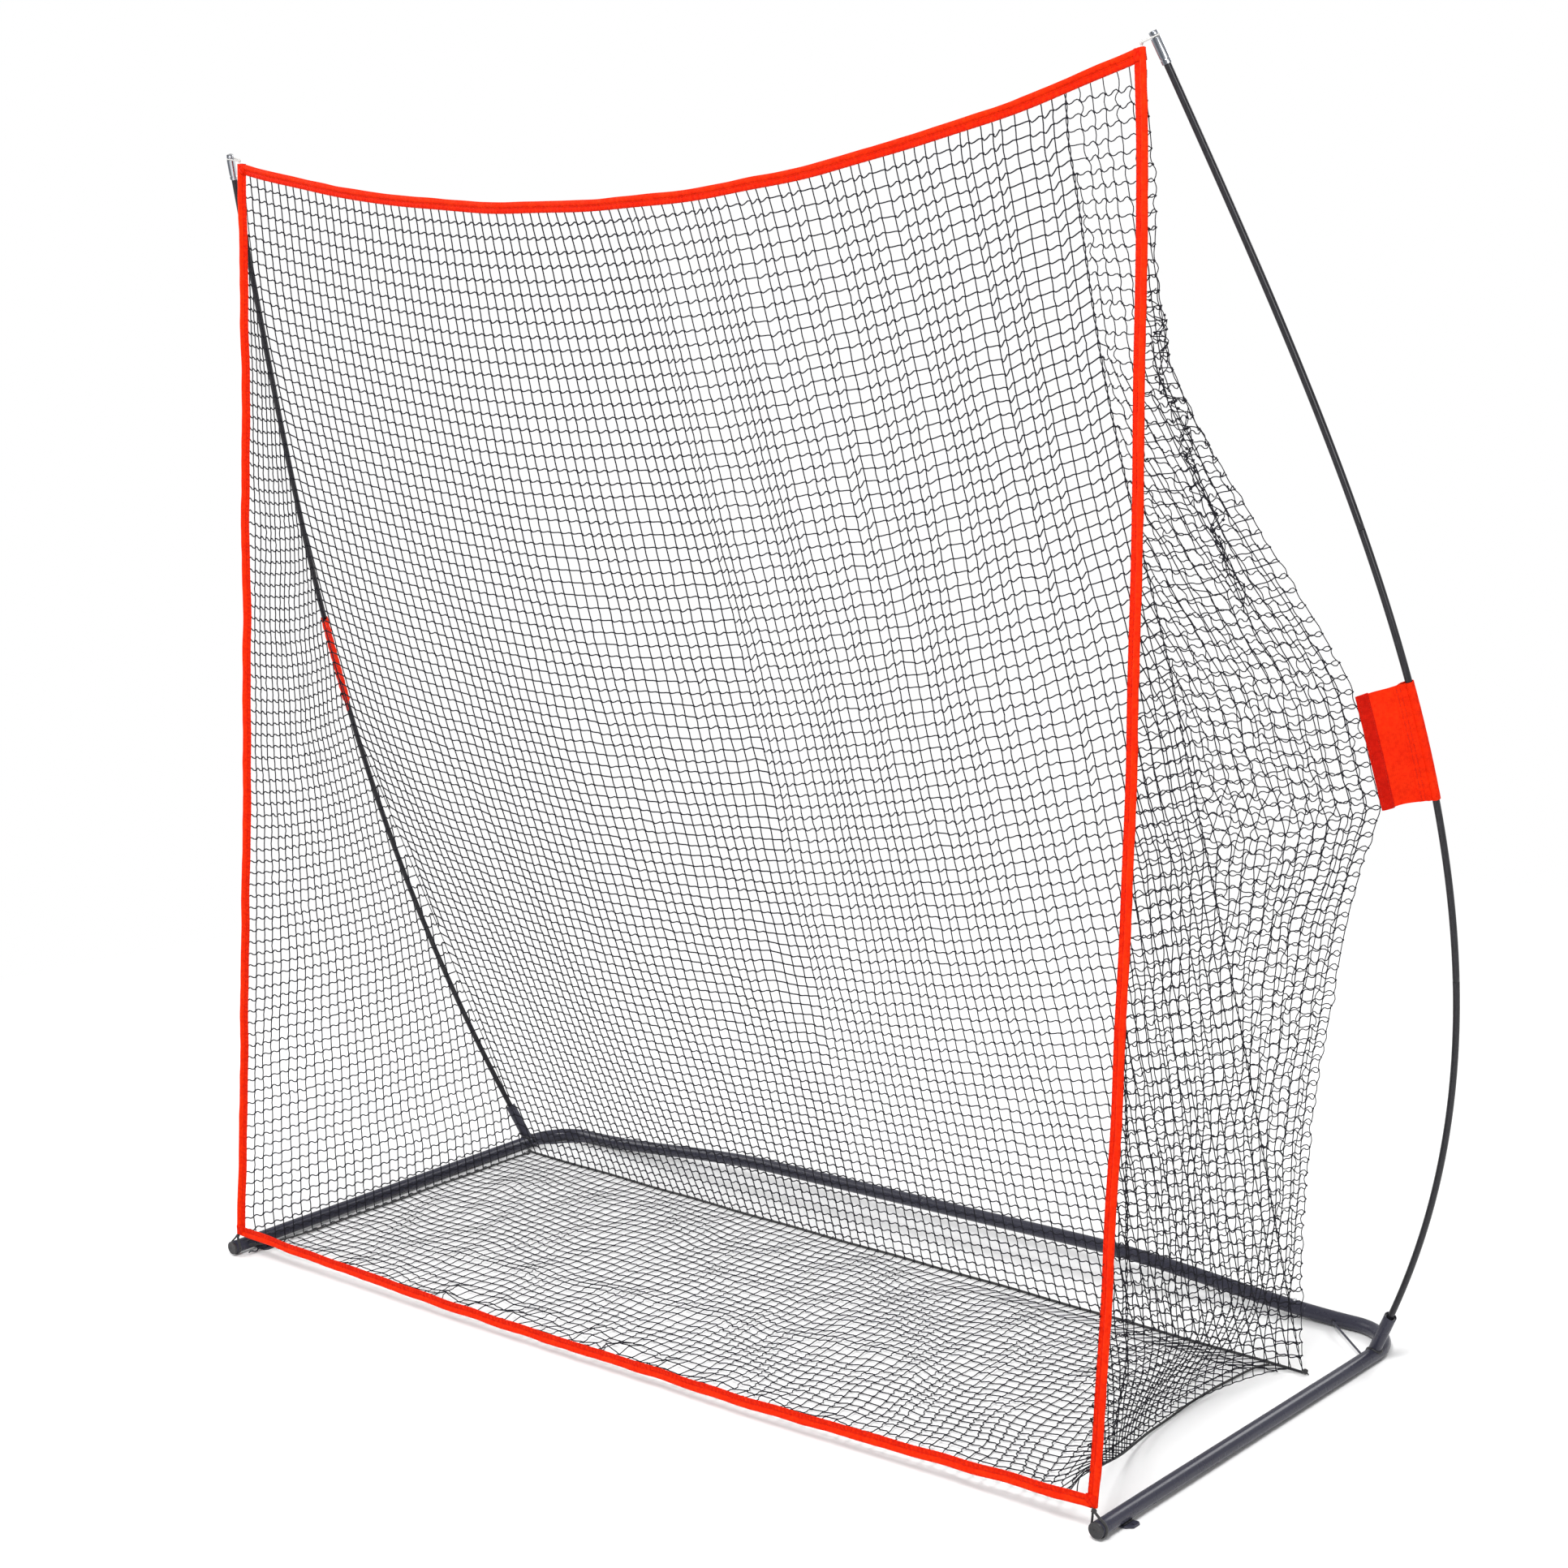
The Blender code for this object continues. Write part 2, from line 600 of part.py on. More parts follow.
def side_edge(z):
    k = (z - BOTTOM_CORNER.z) / (TOP_CORNER.z - BOTTOM_CORNER.z)
    return BOTTOM_CORNER.lerp(TOP_CORNER, k) + EDGE_BULGE * hump(k)


def border(name, points, wide):
    """Flat band with clipped edges, its width turned towards `wide`."""
    axes = []
    for tangent in path_tangents(points):
        across = square_to(wide, tangent)
        axes.append((across, tangent.cross(across)))
    w, h = BAND_W / 2, BAND_T / 2
    section = [(-w, -h * 0.5), (-w * 0.6, -h), (w * 0.6, -h), (w, -h * 0.5),
               (w, h * 0.5), (w * 0.6, h), (-w * 0.6, h), (-w, h * 0.5)]
    sweep(name, points, axes, section, ORANGE_CLOTH)


def level_border(name, corner, sag, steps):
    border(name, [sagging_edge(x, corner, sag) for x in spread(-corner.x, corner.x, steps)],
           Z_AXIS)


def side_border(word, side):
    path = [side_edge(z) for z in spread(EDGE_START_Z, EDGE_TOP_Z, 10)]
    border(word + "_border", mirrored_all(path, side), Vector((1, 0, 0)))


# --------------------------------------------------------------- corner loops
def teardrop(centre, apex, radius, across, arc_steps):
    """Closed loop round a centre, drawn out to an apex in the same plane."""
    reach = apex - centre
    distance = reach.length
    reach.normalize()
    across = across.normalized()
    # just short of the tangent points of the two straight legs
    opening = math.acos(min(radius / distance, 0.98)) * 0.98
    arc = [centre + reach * (radius * math.cos(angle)) + across * (radius * math.sin(angle))
           for angle in spread(opening, 2 * math.pi - opening, arc_steps)]
    half_tip = across * LOOP_TIP_HALF
    return (arc + spread(arc[-1], apex - half_tip, 2)[1:]
            + [apex + reach * LOOP_TIP_REACH]
            + spread(apex + half_tip, arc[0], 2)[:-1])


def top_loop(word, side):
    """White cord from the top corner round the neck of the tip."""
    tip, direction = pole_tip(side)
    neck = tip + direction * (TIP_NECK_START + TIP_NECK_H / 2)
    corner = mirrored(TOP_CORNER + TOP_CORD_CORNER, side)
    apex = corner - direction * (corner - neck).dot(direction)
    loop = teardrop(neck, apex, TIP_NECK_R + GAP + TOP_CORD_R,
                    direction.cross(apex - neck), 14)
    rod(word + "_top_loop", loop, TOP_CORD_R, WHITE_CORD, 6, closed=True)


def bottom_loop(word, side):
    """Flat black elastic from the bottom corner round the tube, behind the cap."""
    y = -FRONT + CAP_FACE_T + ELASTIC_BEHIND_CAP
    centre = Vector((TRACK * side, y, FRONT_Z))
    apex = Vector(((BOTTOM_CORNER.x + ELASTIC_OUT) * side, y, BOTTOM_CORNER.z - ELASTIC_DROP))
    loop = teardrop(centre, apex, TUBE_R + GAP + ELASTIC_T / 2 + 0.0001,
                    Y_AXIS.cross(apex - centre), 22)
    axes = [(Y_AXIS.cross(tangent).normalized(), Y_AXIS)
            for tangent in path_tangents(loop, closed=True)]
    sweep(word + "_bottom_loop", loop, axes, rectangle(ELASTIC_T / 2, ELASTIC_HALF_W),
          BLACK_ELASTIC, closed=True)


# --------------------------------------------------------------- pole sleeves
def sleeve_section():
    """Strip of cloth: flat flap, most of the way round the pole, back to the flap."""
    bend = SLEEVE_BEND_R
    line = [(SLEEVE_W, 0.0), (SLEEVE_W * 0.55, -0.0012), (0.016, -bend * 0.72)]
    for degrees in spread(-70, -340, 10):
        angle = math.radians(degrees)
        line.append((bend * math.cos(angle), bend * math.sin(angle)))
    line += [(0.0125, 0.0022), (0.0200, -0.0018)]
    points = [Vector((a, b, 0)) for a, b in line]
    left, right = [], []
    for point, tangent in zip(points, path_tangents(points)):
        offset = Vector((-tangent.y, tangent.x, 0)) * (SLEEVE_CLOTH / 2)
        left.append(point + offset)
        right.append(point - offset)
    return [(point.x, point.y) for point in left + right[::-1]]


def pole_sleeve(word, side):
    path, axes = [], []
    for t in spread(SLEEVE_T0, SLEEVE_T1, 4):
        tangent = (pole_curve(t + 0.003) - pole_curve(t - 0.003)).normalized()
        flap = square_to(SLEEVE_DIR + SLEEVE_DROP / SLEEVE_W, tangent)
        path.append(mirrored(pole_curve(t), side))
        axes.append((mirrored(flap, side), mirrored(tangent.cross(flap), side)))
    sweep(word + "_pole_sleeve", path, axes, sleeve_section(), ORANGE_CLOTH)


# ----------------------------------------------------------------- the netting
def seam_at_sleeve(t):
    return pole_curve(t) + SLEEVE_DIR * (SLEEVE_W + SEAM_OFF_SLEEVE) + SLEEVE_DROP


SEAM_TOP = TOP_CORNER + Vector((-0.010, NET_BEHIND_BAND, -NET_BELOW_BAND))
SEAM_UPPER = seam_at_sleeve(SLEEVE_T1)
SEAM_LOWER = seam_at_sleeve(SLEEVE_T0)


def seam(v, side):
    """Rear corner of the netting, as if on the right: top corner, sleeve, floor."""
    if v <= SEAM_SLEEVE_TOP:
        k = v / SEAM_SLEEVE_TOP
        return SEAM_TOP.lerp(SEAM_UPPER, k) + SEAM_TOP_SLACK * hump(k)
    if v <= SEAM_SLEEVE_LOW:
        k = (v - SEAM_SLEEVE_TOP) / (SEAM_SLEEVE_LOW - SEAM_SLEEVE_TOP)
        return SEAM_UPPER.lerp(SEAM_LOWER, k)
    k = (v - SEAM_SLEEVE_LOW) / (1 - SEAM_SLEEVE_LOW)
    end = FLOOR_CORNER[side] + Vector((0, 0, SEAM_END_Z))
    return SEAM_LOWER.lerp(end, k) + SEAM_SLACK[side] * hump(k)


def back_row(v):
    """One level of the back net, from the left seam to the right seam."""
    left, right = seam(v, -1.0), seam(v, 1.0)
    middle_top = (sagging_edge(0.0, TOP_CORNER, TOP_SAG)
                  + Vector((0, NET_BEHIND_BAND, -NET_BELOW_BAND)))
    floor_y = (FLOOR_CORNER[-1.0].y + FLOOR_CORNER[1.0].y) / 2
    middle_low = Vector((0.0, floor_y + BACK_LOW_BEHIND, BACK_LOW_Z))
    middle = middle_top.lerp(middle_low, v) + BACK_BELLY * math.sin(math.pi * v)
    row = []
    for x in spread(-(left.x - BACK_TRIM), right.x - BACK_TRIM, 8):
        edge = left if x < 0 else right
        weight = min(abs(x) / edge.x, 1.0) ** 2
        row.append(Vector((x, middle.y + (edge.y - middle.y) * weight,
                           middle.z + (edge.z - middle.z) * weight)))
    return row


def side_net(word, side):
    rows = []
    for k, z in enumerate(spread(SEAM_TOP.z, SIDE_NET_LOW_Z, NET_ROWS)):
        front = side_edge(z) + SIDE_NET_OFF_BAND
        if k == 0:
            # the panel narrows almost to a point at the top corner
            rear = front + SIDE_NET_TOP_STEP
        else:
            rear = seam(k / NET_ROWS, side)
            rear += (front - rear).normalized() * SIDE_NET_TRIM + SIDE_NET_OUT
        rows.append(mirrored_all(spread(front, rear, 3), side))
    net_panel(word + "_side_net", rows)


# ------------------------------------------------------------------ the floor
def floor_side(k, side):
    """Side cord of the floor, front (0) to rear (1), at its true place."""
    corner = FLOOR_CORNER[side]
    y = FLOOR_FRONT_Y + (corner.y - SIDE_CORD_SHORT - FLOOR_FRONT_Y) * k
    if side < 0:
        x = FLOOR_FRONT_LEFT_X + (corner.x - FLOOR_FRONT_LEFT_X) * k
    else:
        waist_depth = (FLOOR_FRONT_RIGHT_X + FLOOR_REAR_RIGHT_X) / 2 - FLOOR_WAIST_X
        x = (FLOOR_FRONT_RIGHT_X + (FLOOR_REAR_RIGHT_X - FLOOR_FRONT_RIGHT_X) * k
             - waist_depth * math.sin(math.pi * k) ** FLOOR_WAIST_POWER)
    return Vector((x * side, y, CORD_Z))


def floor():
    """Elastic cords at the rear and sides, and the net between the side cords."""
    offset = Vector((0, REAR_CORD_BEHIND, CORD_Z))
    rear_left, rear_right = (mirrored(FLOOR_CORNER[side] + offset, side) for _, side in SIDES)
    rod("rear_floor_cord", spread(rear_left, rear_right, 4), CORD_R, BLACK_ELASTIC, 8)
    for word, side in SIDES:
        path = [floor_side(k / 10, side) for k in range(11)]
        rod(word + "_floor_cord", path, CORD_R, BLACK_ELASTIC, 8)
    inset = Vector((FLOOR_NET_INSET, 0, 0))
    net_panel("floor_net", [spread(floor_side(k / 10, -1.0) + inset,
                                   floor_side(k / 10, 1.0) - inset, 6)
                            for k in range(11)])


# ------------------------------------------------------------------- assembly
for word, side in SIDES:
    base_tubes(word, side)

# each button stands up through the crossbar tube that slides over the spigot
crossbar_joint("left", -LEG_END_X, -LEG_END_X + BUTTON_INSET, tube_word="left", away=1.0)
crossbar_joint("centre", 0.0, CENTRE_BUTTON_X, tube_word="right", away=1.0)
crossbar_joint("right", LEG_END_X, LEG_END_X - BUTTON_INSET, tube_word="right", away=-1.0)

level_border("top_border", TOP_CORNER, TOP_SAG, steps=20)
level_border("bottom_border", BOTTOM_CORNER, BOTTOM_SAG, steps=14)
net_panel("back_net", [back_row(k / NET_ROWS) for k in range(NET_ROWS + 1)])

SIDE_PIECES = (end_cap, foot_plate, pole_socket, corner_brace, pole, tip_cap,
               side_border, top_loop, bottom_loop, pole_sleeve, side_net)
for word, side in SIDES:
    for build_piece in SIDE_PIECES:
        build_piece(word, side)

floor()
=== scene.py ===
"""Pocket-type pitching net: cut netting, bound edges, powder-coated base and
fibreglass poles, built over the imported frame.

Metres, +Z up, ground at z = 0.  The front is -Y and the right side +X.  Paired
pieces are designed on the right (side = 1.0) and mirrored in x for the left.
"""

import bmesh
import bpy
import numpy as np
from mathutils import Matrix, Vector
from numpy import cos, exp, interp, linspace, pi, sin, sqrt


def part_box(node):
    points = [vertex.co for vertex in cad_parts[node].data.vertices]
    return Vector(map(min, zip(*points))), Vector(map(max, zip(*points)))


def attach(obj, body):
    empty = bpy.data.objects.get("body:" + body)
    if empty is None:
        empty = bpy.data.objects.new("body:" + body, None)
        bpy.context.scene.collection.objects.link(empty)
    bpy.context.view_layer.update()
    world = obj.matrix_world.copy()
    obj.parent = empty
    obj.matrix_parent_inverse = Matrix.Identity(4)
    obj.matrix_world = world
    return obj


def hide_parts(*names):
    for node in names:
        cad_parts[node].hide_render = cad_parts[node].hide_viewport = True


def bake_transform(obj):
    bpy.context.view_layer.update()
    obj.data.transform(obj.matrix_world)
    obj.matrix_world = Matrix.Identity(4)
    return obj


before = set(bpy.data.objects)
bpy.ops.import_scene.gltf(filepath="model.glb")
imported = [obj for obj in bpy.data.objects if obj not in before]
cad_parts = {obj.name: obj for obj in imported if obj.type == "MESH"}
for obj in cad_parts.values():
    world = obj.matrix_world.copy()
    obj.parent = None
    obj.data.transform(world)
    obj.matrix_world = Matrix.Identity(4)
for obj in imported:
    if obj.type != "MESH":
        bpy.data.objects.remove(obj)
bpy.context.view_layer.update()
SIDES = (("left", -1.0), ("right", 1.0))


# --------------------------------------------------------------- small geometry
def vec(*values):
    return np.array(values, float)


XDIR, YDIR, UP = vec(1, 0, 0), vec(0, 1, 0), vec(0, 0, 1)


def unit(a):
    a = np.asarray(a, float)
    return a / np.maximum(np.linalg.norm(a, axis=-1, keepdims=True), 1e-12)


def points(x, y, z):
    """Points from coordinates, any of which may be one number."""
    return np.stack(np.broadcast_arrays(x, y, z), -1)


def mirror(place, side):
    place = np.array(place, float)
    place[..., 0] *= side
    return place


def clamp(x):
    return np.clip(x, 0.0, 1.0)


def smooth(x):
    x = clamp(x)
    return x * x * (3 - 2 * x)


def bell(x, centre, width):
    return exp(-((x - centre) / width) ** 2)


def arch(x):
    """A parabola: 0 at the ends of 0..1 and 1 in the middle."""
    return 4 * x * (1 - x)


def turn(count):
    """Equal angles round a circle."""
    return linspace(0, 2 * pi, count, endpoint=False)


def arc_length(path):
    steps = np.linalg.norm(np.diff(path, axis=0), axis=1)
    return np.concatenate([[0], np.cumsum(steps)])


def on_path(at, places, path):
    """Points of a path at given places, by straight interpolation."""
    return np.stack([interp(at, places, path[:, k]) for k in range(3)], -1)


def wander(s, seed, count=5, lo=0.15, hi=0.9):
    """A smooth wandering of about unit size along s; lo and hi bound the wavelengths."""
    rng = np.random.default_rng(seed)
    out = np.zeros_like(s)
    for _ in range(count):
        out += sin(2 * pi * s / rng.uniform(lo, hi) + rng.uniform(0, 6.28)) / sqrt(count / 2)
    return out


def waves(seed, count, lo, hi):
    """A smooth field over the plane, about unit size; lo and hi bound the frequencies."""
    rng = np.random.default_rng(seed)
    freqs = rng.uniform(lo, hi, count)[:, None] * unit(rng.normal(size=(count, 2)))
    phases = rng.uniform(0, 2 * pi, count)

    def field(p, q):
        out = np.zeros(np.broadcast(p, q).shape)
        for (a, b), phase in zip(freqs, phases):
            out += sin(2 * pi * (a * p + b * q) + phase)
        return out * sqrt(2.0 / count)
    return field


# ----------------------------------------------------------- base dimensions
TUBE_LO, TUBE_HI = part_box("right_side_tube")
CAP_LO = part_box("right_end_cap")[0]
PLATE_LO, PLATE_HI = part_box("right_foot_plate")
TUBE_R = 0.0127
TUBE_WALL = 0.0012
TRACK = TUBE_HI[0] - TUBE_R             # x of the side tube's axis
REAR_Y = TUBE_HI[1] - TUBE_R            # y of the crossbar's axis
FRONT_Y = CAP_LO[1]
BEND_R = 0.090
BEND_Y = REAR_Y - BEND_R
LEG_END_X = TUBE_LO[0]
CROSS_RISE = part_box("right_crossbar_tube")[1][2] - 2 * TUBE_R
PLATE_T = PLATE_HI[2]
PLATE_Y = (PLATE_LO[1] + PLATE_HI[1]) / 2
FRONT_Z = CAP_LO[2] + TUBE_R + 0.0001
REAR_Z = TUBE_R
CAP_FLANGE = 0.0045                     # length of the end cap outside the tube

# ----------------------------------------------------------- pole dimensions
POLE_CURVE = (vec(1.049, 0.351, 0.020), vec(1.469, 0.253, 0.753),
              vec(1.258, 0.040, 1.441), vec(1.066, -0.181, 2.124))    # Bezier points
POLE_R, POLE_BORE = 0.0055, 0.0038
POLE_JOINTS = (0.335, 0.665)            # shares of the length
JOINT_GAP = 0.00015                     # drawn back at each side of a joint
# places named _S are lengths along the pole from its foot
POLE_START_S = 0.0375
PIVOT_S = 0.060                         # the straight socket touches the pole here
SOCKET_R, SOCKET_BORE, SOCKET_TOP_S = 0.0105, 0.0093, 0.082
BUSH_R, BUSH_BORE, BUSH_FLOOR_S, BUSH_TOP_S = 0.0090, 0.0066, 0.0330, 0.0795
BUSH_FLOOR_T = 0.003
TIP_R, TIP_BORE, TIP_SKIRT = 0.0074, 0.0061, 0.036
NECK_R, NECK_H, NECK_START = 0.0040, 0.0040, 0.0030
HEAD_R, HEAD_H = 0.0066, 0.0055

# ------------------------------------------------------------ net dimensions
BAND_W, BAND_T = 0.020, 0.0095          # edge binding
TOP_C, TOP_SAG = vec(1.037, -0.179, 2.108), 0.133       # corner, sag at the middle
BOT_C, BOT_SAG = vec(1.035, -0.4267, 0.052), 0.020
BULGE = vec(0.010, 0.020, 0.0)          # of the side edge, at mid height
SLEEVE_T0, SLEEVE_T1, SLEEVE_W = 0.464, 0.5515, 0.079   # curve parameters, width
SLEEVE_DIR = unit(vec(-0.792, -0.610, 0.0))
SLEEVE_DROP = -0.011
FLOOR_C = {1.0: vec(0.982, 0.238, 0.0), -1.0: vec(1.010, 0.320, 0.0)}    # rear corners
CORD_R = 0.0020
REAR_CORD_Z = 0.0037
# right floor edge: y, half width
RIGHT_FLOOR = np.array([
    (-0.42, 1.029), (-0.36, 1.003), (-0.30, 0.977), (-0.25, 0.956), (-0.20, 0.935),
    (-0.15, 0.920), (-0.097, 0.9080), (0.02, 0.8985), (0.108, 0.8970), (0.177, 0.9020),
    (0.223, 0.9080), (0.240, 0.930)])
# slack right floor cord, which climbs to the border in front: y, z
RIGHT_CORD = np.array([
    (-0.42, 0.094), (-0.36, 0.073), (-0.30, 0.052), (-0.25, 0.035), (-0.20, 0.0190),
    (-0.15, 0.0105), (-0.097, 0.0060), (0.0, 0.0042)])


def side_z(y):
    """Height of the side tube's axis."""
    return FRONT_Z + (REAR_Z - FRONT_Z) * clamp((y - PLATE_Y) / (BEND_Y - PLATE_Y))


def cross_z(x):
    """Height of the crossbar's axis."""
    return REAR_Z + CROSS_RISE * smooth((0.955 - np.abs(x)) / 0.555)


def pole_curve(t):
    t = np.asarray(t, float)[..., None]
    u = 1 - t
    a, b, c, d = POLE_CURVE
    return a * u ** 3 + b * (3 * u * u * t) + c * (3 * u * t * t) + d * t ** 3


POLE_T = linspace(0, 1, 801)
POLE_ARC = arc_length(pole_curve(POLE_T))
POLE_L = POLE_ARC[-1]


def pole_at(s):
    return pole_curve(interp(s, POLE_ARC, POLE_T))


def pole_dir(s):
    return unit(pole_at(np.minimum(s + 0.004, POLE_L)) - pole_at(np.maximum(s - 0.004, 0)))


PIVOT = pole_at(PIVOT_S)
SOCKET_AXIS = pole_dir(PIVOT_S)


def on_socket(s):
    return PIVOT + SOCKET_AXIS * (s - PIVOT_S)


def pole_tip(side):
    """End of the pole and its direction there."""
    return mirror(pole_at(POLE_L), side), mirror(pole_dir(POLE_L), side)


def top_z(x):
    return TOP_C[2] - TOP_SAG * (1 - (x / TOP_C[0]) ** 2)


def bottom_z(x):
    return BOT_C[2] - BOT_SAG * (1 - (x / BOT_C[0]) ** 2)


def side_edge(z):
    k = ((np.asarray(z, float) - BOT_C[2]) / (TOP_C[2] - BOT_C[2]))[..., None]
    return BOT_C + (TOP_C - BOT_C) * k + BULGE * arch(k)


def rear_y(x):
    """The rear edge of the floor runs a little skew."""
    a, b = FLOOR_C[1.0], FLOOR_C[-1.0]
    return a[1] + (b[1] - a[1]) * (a[0] - x) / (a[0] + b[0])


def floor_side_x(y, side):
    """Half width of the floor: slack and waisted right, straight left."""
    if side > 0:
        return interp(y, *RIGHT_FLOOR.T)
    return 1.022 - 0.012 * (y + 0.43) / 0.75


def rope_z(y):
    return interp(y, *RIGHT_CORD.T)


def sleeve_edge(t):
    return pole_curve(t) + SLEEVE_DIR * SLEEVE_W + vec(0, 0, SLEEVE_DROP)


# --------------------------------------------------------------- mesh building
def make(name, verts, faces, mat, sharp=None, uv=None, fix=False):
    """An object from vertices and a list of face arrays, each of one width."""
    verts = np.ascontiguousarray(verts, np.float32)
    faces = [np.asarray(f, np.int32) for f in faces]
    loops = np.concatenate([f.ravel() for f in faces])
    totals = np.concatenate([np.full(len(f), f.shape[1], np.int32) for f in faces])
    starts = np.concatenate([[0], np.cumsum(totals)[:-1]]).astype(np.int32)
    mesh = bpy.data.meshes.new(name)
    mesh.vertices.add(len(verts))
    mesh.vertices.foreach_set("co", verts.ravel())
    mesh.loops.add(len(loops))
    mesh.loops.foreach_set("vertex_index", loops)
    mesh.polygons.add(len(totals))
    mesh.polygons.foreach_set("loop_start", starts)
    mesh.update(calc_edges=True)
    if fix:
        bm = bmesh.new()
        bm.from_mesh(mesh)
        bmesh.ops.recalc_face_normals(bm, faces=bm.faces[:])
        bm.to_mesh(mesh)
        bm.free()
    if uv is not None:
        layer = mesh.uv_layers.new(name="OFBake")
        layer.data.foreach_set("uv", np.ascontiguousarray(uv[loops], np.float32).ravel())
    mesh.materials.append(mat)
    mesh.shade_smooth()
    if sharp is not None:
        mesh.set_sharp_from_angle(angle=np.radians(sharp))
    ob = bpy.data.objects.new(name, mesh)
    bpy.context.scene.collection.objects.link(ob)
    return ob


def vertices(ob):
    co = np.zeros(len(ob.data.vertices) * 3, np.float32)
    ob.data.vertices.foreach_get("co", co)
    return co.reshape(-1, 3)


def point_attribute(ob, name, values):
    layer = ob.data.attributes.new(name, "FLOAT", "POINT")
    layer.data.foreach_set("value", np.ascontiguousarray(values, np.float32))


def frames(path, closed=False, up=UP):
    """Tangents, crosswise and upward directions along a path, without twist."""
    if closed:
        tangent = unit(np.roll(path, -1, 0) - np.roll(path, 1, 0))
    else:
        tangent = unit(np.gradient(path, axis=0))
    if abs(tangent[0] @ up) > 0.95:
        up = XDIR
    ups = [unit(up - tangent[0] * (tangent[0] @ up))]
    for t in tangent[1:]:
        ups.append(unit(ups[-1] - t * (t @ ups[-1])))
    ups = np.array(ups)
    return tangent, np.cross(tangent, ups), ups


def bridge(index):
    """Quads between successive rings of vertex numbers (..., rings, sides)."""
    a, b = index[..., :-1, :], index[..., 1:, :]
    return np.stack([a, np.roll(a, -1, -1), np.roll(b, -1, -1), b], -1).reshape(-1, 4)


def loft(rings, closed=False, base=0):
    """Vertices and faces through rings (R, K, 3), capped unless closed."""
    count, sides = rings.shape[:2]
    index = np.arange(count * sides).reshape(count, sides) + base
    if closed:
        faces = [bridge(np.concatenate([index, index[:1]]))]
    else:
        faces = [bridge(index), index[0][::-1][None], index[-1][None]]
    return rings.reshape(-1, 3), faces


def lofted(name, rings, mat, closed=False, sharp=None):
    return make(name, *loft(rings, closed), mat, sharp=sharp, fix=True)


def rings_round(path, radius, sides, across, up):
    angle = turn(sides)[:, None]
    radius = np.broadcast_to(radius, (len(path),))[:, None, None]
    return path[:, None] + radius * (across[:, None] * sin(angle) - up[:, None] * cos(angle))


def tube_rings(path, radius, sides, closed=False, up=UP):
    _, across, ups = frames(path, closed, up)
    return rings_round(path, radius, sides, across, ups)


def rod(name, path, radius, mat, sides=24, closed=False):
    return lofted(name, tube_rings(path, radius, sides, closed), mat, closed)


def pipe(name, path, radius, bore, mat, sides=48, lip=0.0004):
    """A tube with rounded lips and an open bore."""
    _, across, ups = frames(path)
    length = arc_length(path)
    inset = lip / length[-1]
    even = linspace(0, 1, len(path))
    share = np.concatenate([[0, inset * 0.3, inset], even[1:-1],
                            [1 - inset, 1 - inset * 0.3, 1]])
    place = np.where((share > inset) & (share < 1 - inset),
                     interp(share, even, length), share * length[-1])
    path, across, ups = (on_path(place, length, a) for a in (path, across, ups))
    across, ups = unit(across), unit(ups)
    radii = np.full(len(place), radius)
    radii[[0, -1]] = radius - lip
    radii[[1, -2]] = radius - lip * 0.3
    outer = rings_round(path, radii, sides, across, ups)
    inner = rings_round(path, bore, sides, across, ups)[::-1]
    return lofted(name, np.concatenate([outer, inner]), mat, closed=True, sharp=40)


def turned(name, origin, axis, profile, mat, sides=48):
    """A turned piece from (radius, height) points that start and end on the axis."""
    axis = unit(axis)
    ref = UP if abs(axis[2]) < 0.95 else XDIR
    u = unit(ref - axis * (ref @ axis))
    angle = turn(sides)[:, None]
    spokes = u * cos(angle) + np.cross(axis, u) * sin(angle)
    verts, rows, total = [], [], 0
    for radius, height in profile:
        centre = origin + axis * height
        ring = centre[None] if radius < 1e-7 else centre + radius * spokes
        verts.append(ring)
        rows.append(range(total, total + len(ring)))
        total += len(ring)
    quads, tris = [], []
    for p, q in zip(rows, rows[1:]):
        for k in range(sides):
            k2 = (k + 1) % sides
            if len(p) == 1:
                tris.append((p[0], q[k2], q[k]))
            elif len(q) == 1:
                tris.append((p[k], p[k2], q[0]))
            else:
                quads.append((p[k], p[k2], q[k2], q[k]))
    return make(name, np.concatenate(verts), [quads, tris], mat, sharp=35, fix=True)


def round_profile(corners, radius=0.0006, steps=3):
    """Rounds the inner corners of an open (radius, height) profile."""
    out = [corners[0]]
    for a, b, c in zip(corners, corners[1:], corners[2:]):
        a, b, c = vec(*a), vec(*b), vec(*c)
        to_a, to_c = np.linalg.norm(a - b), np.linalg.norm(c - b)
        cut = min(radius, to_a * 0.45, to_c * 0.45)
        start, end = b + (a - b) / to_a * cut, b + (c - b) / to_c * cut
        for k in range(steps + 1):
            t = k / steps
            out.append(tuple((1 - t) ** 2 * start + 2 * t * (1 - t) * b + t * t * end))
    out.append(corners[-1])
    return out


def drill(x, y, bottom, top, radius):
    """An upright cutting rod."""
    return rod("tool", np.array([[x, y, bottom], [x, y, top]]), radius, M_STEEL, 32)


def cut_holes(ob, tools):
    """Cuts the tools out of a piece and applies all its modifiers."""
    for tool in tools:
        mod = ob.modifiers.new("hole", "BOOLEAN")
        mod.operation, mod.object, mod.solver = "DIFFERENCE", tool, "EXACT"
    bpy.context.view_layer.update()
    depsgraph = bpy.context.evaluated_depsgraph_get()
    mesh = bpy.data.meshes.new_from_object(ob.evaluated_get(depsgraph), depsgraph=depsgraph)
    old = ob.data
    ob.modifiers.clear()
    ob.data = mesh
    mesh.name = old.name
    bpy.data.meshes.remove(old)
    for tool in tools:
        bpy.data.objects.remove(tool, do_unlink=True)
    mesh.shade_smooth()
    mesh.set_sharp_from_angle(angle=np.radians(35))
    return ob


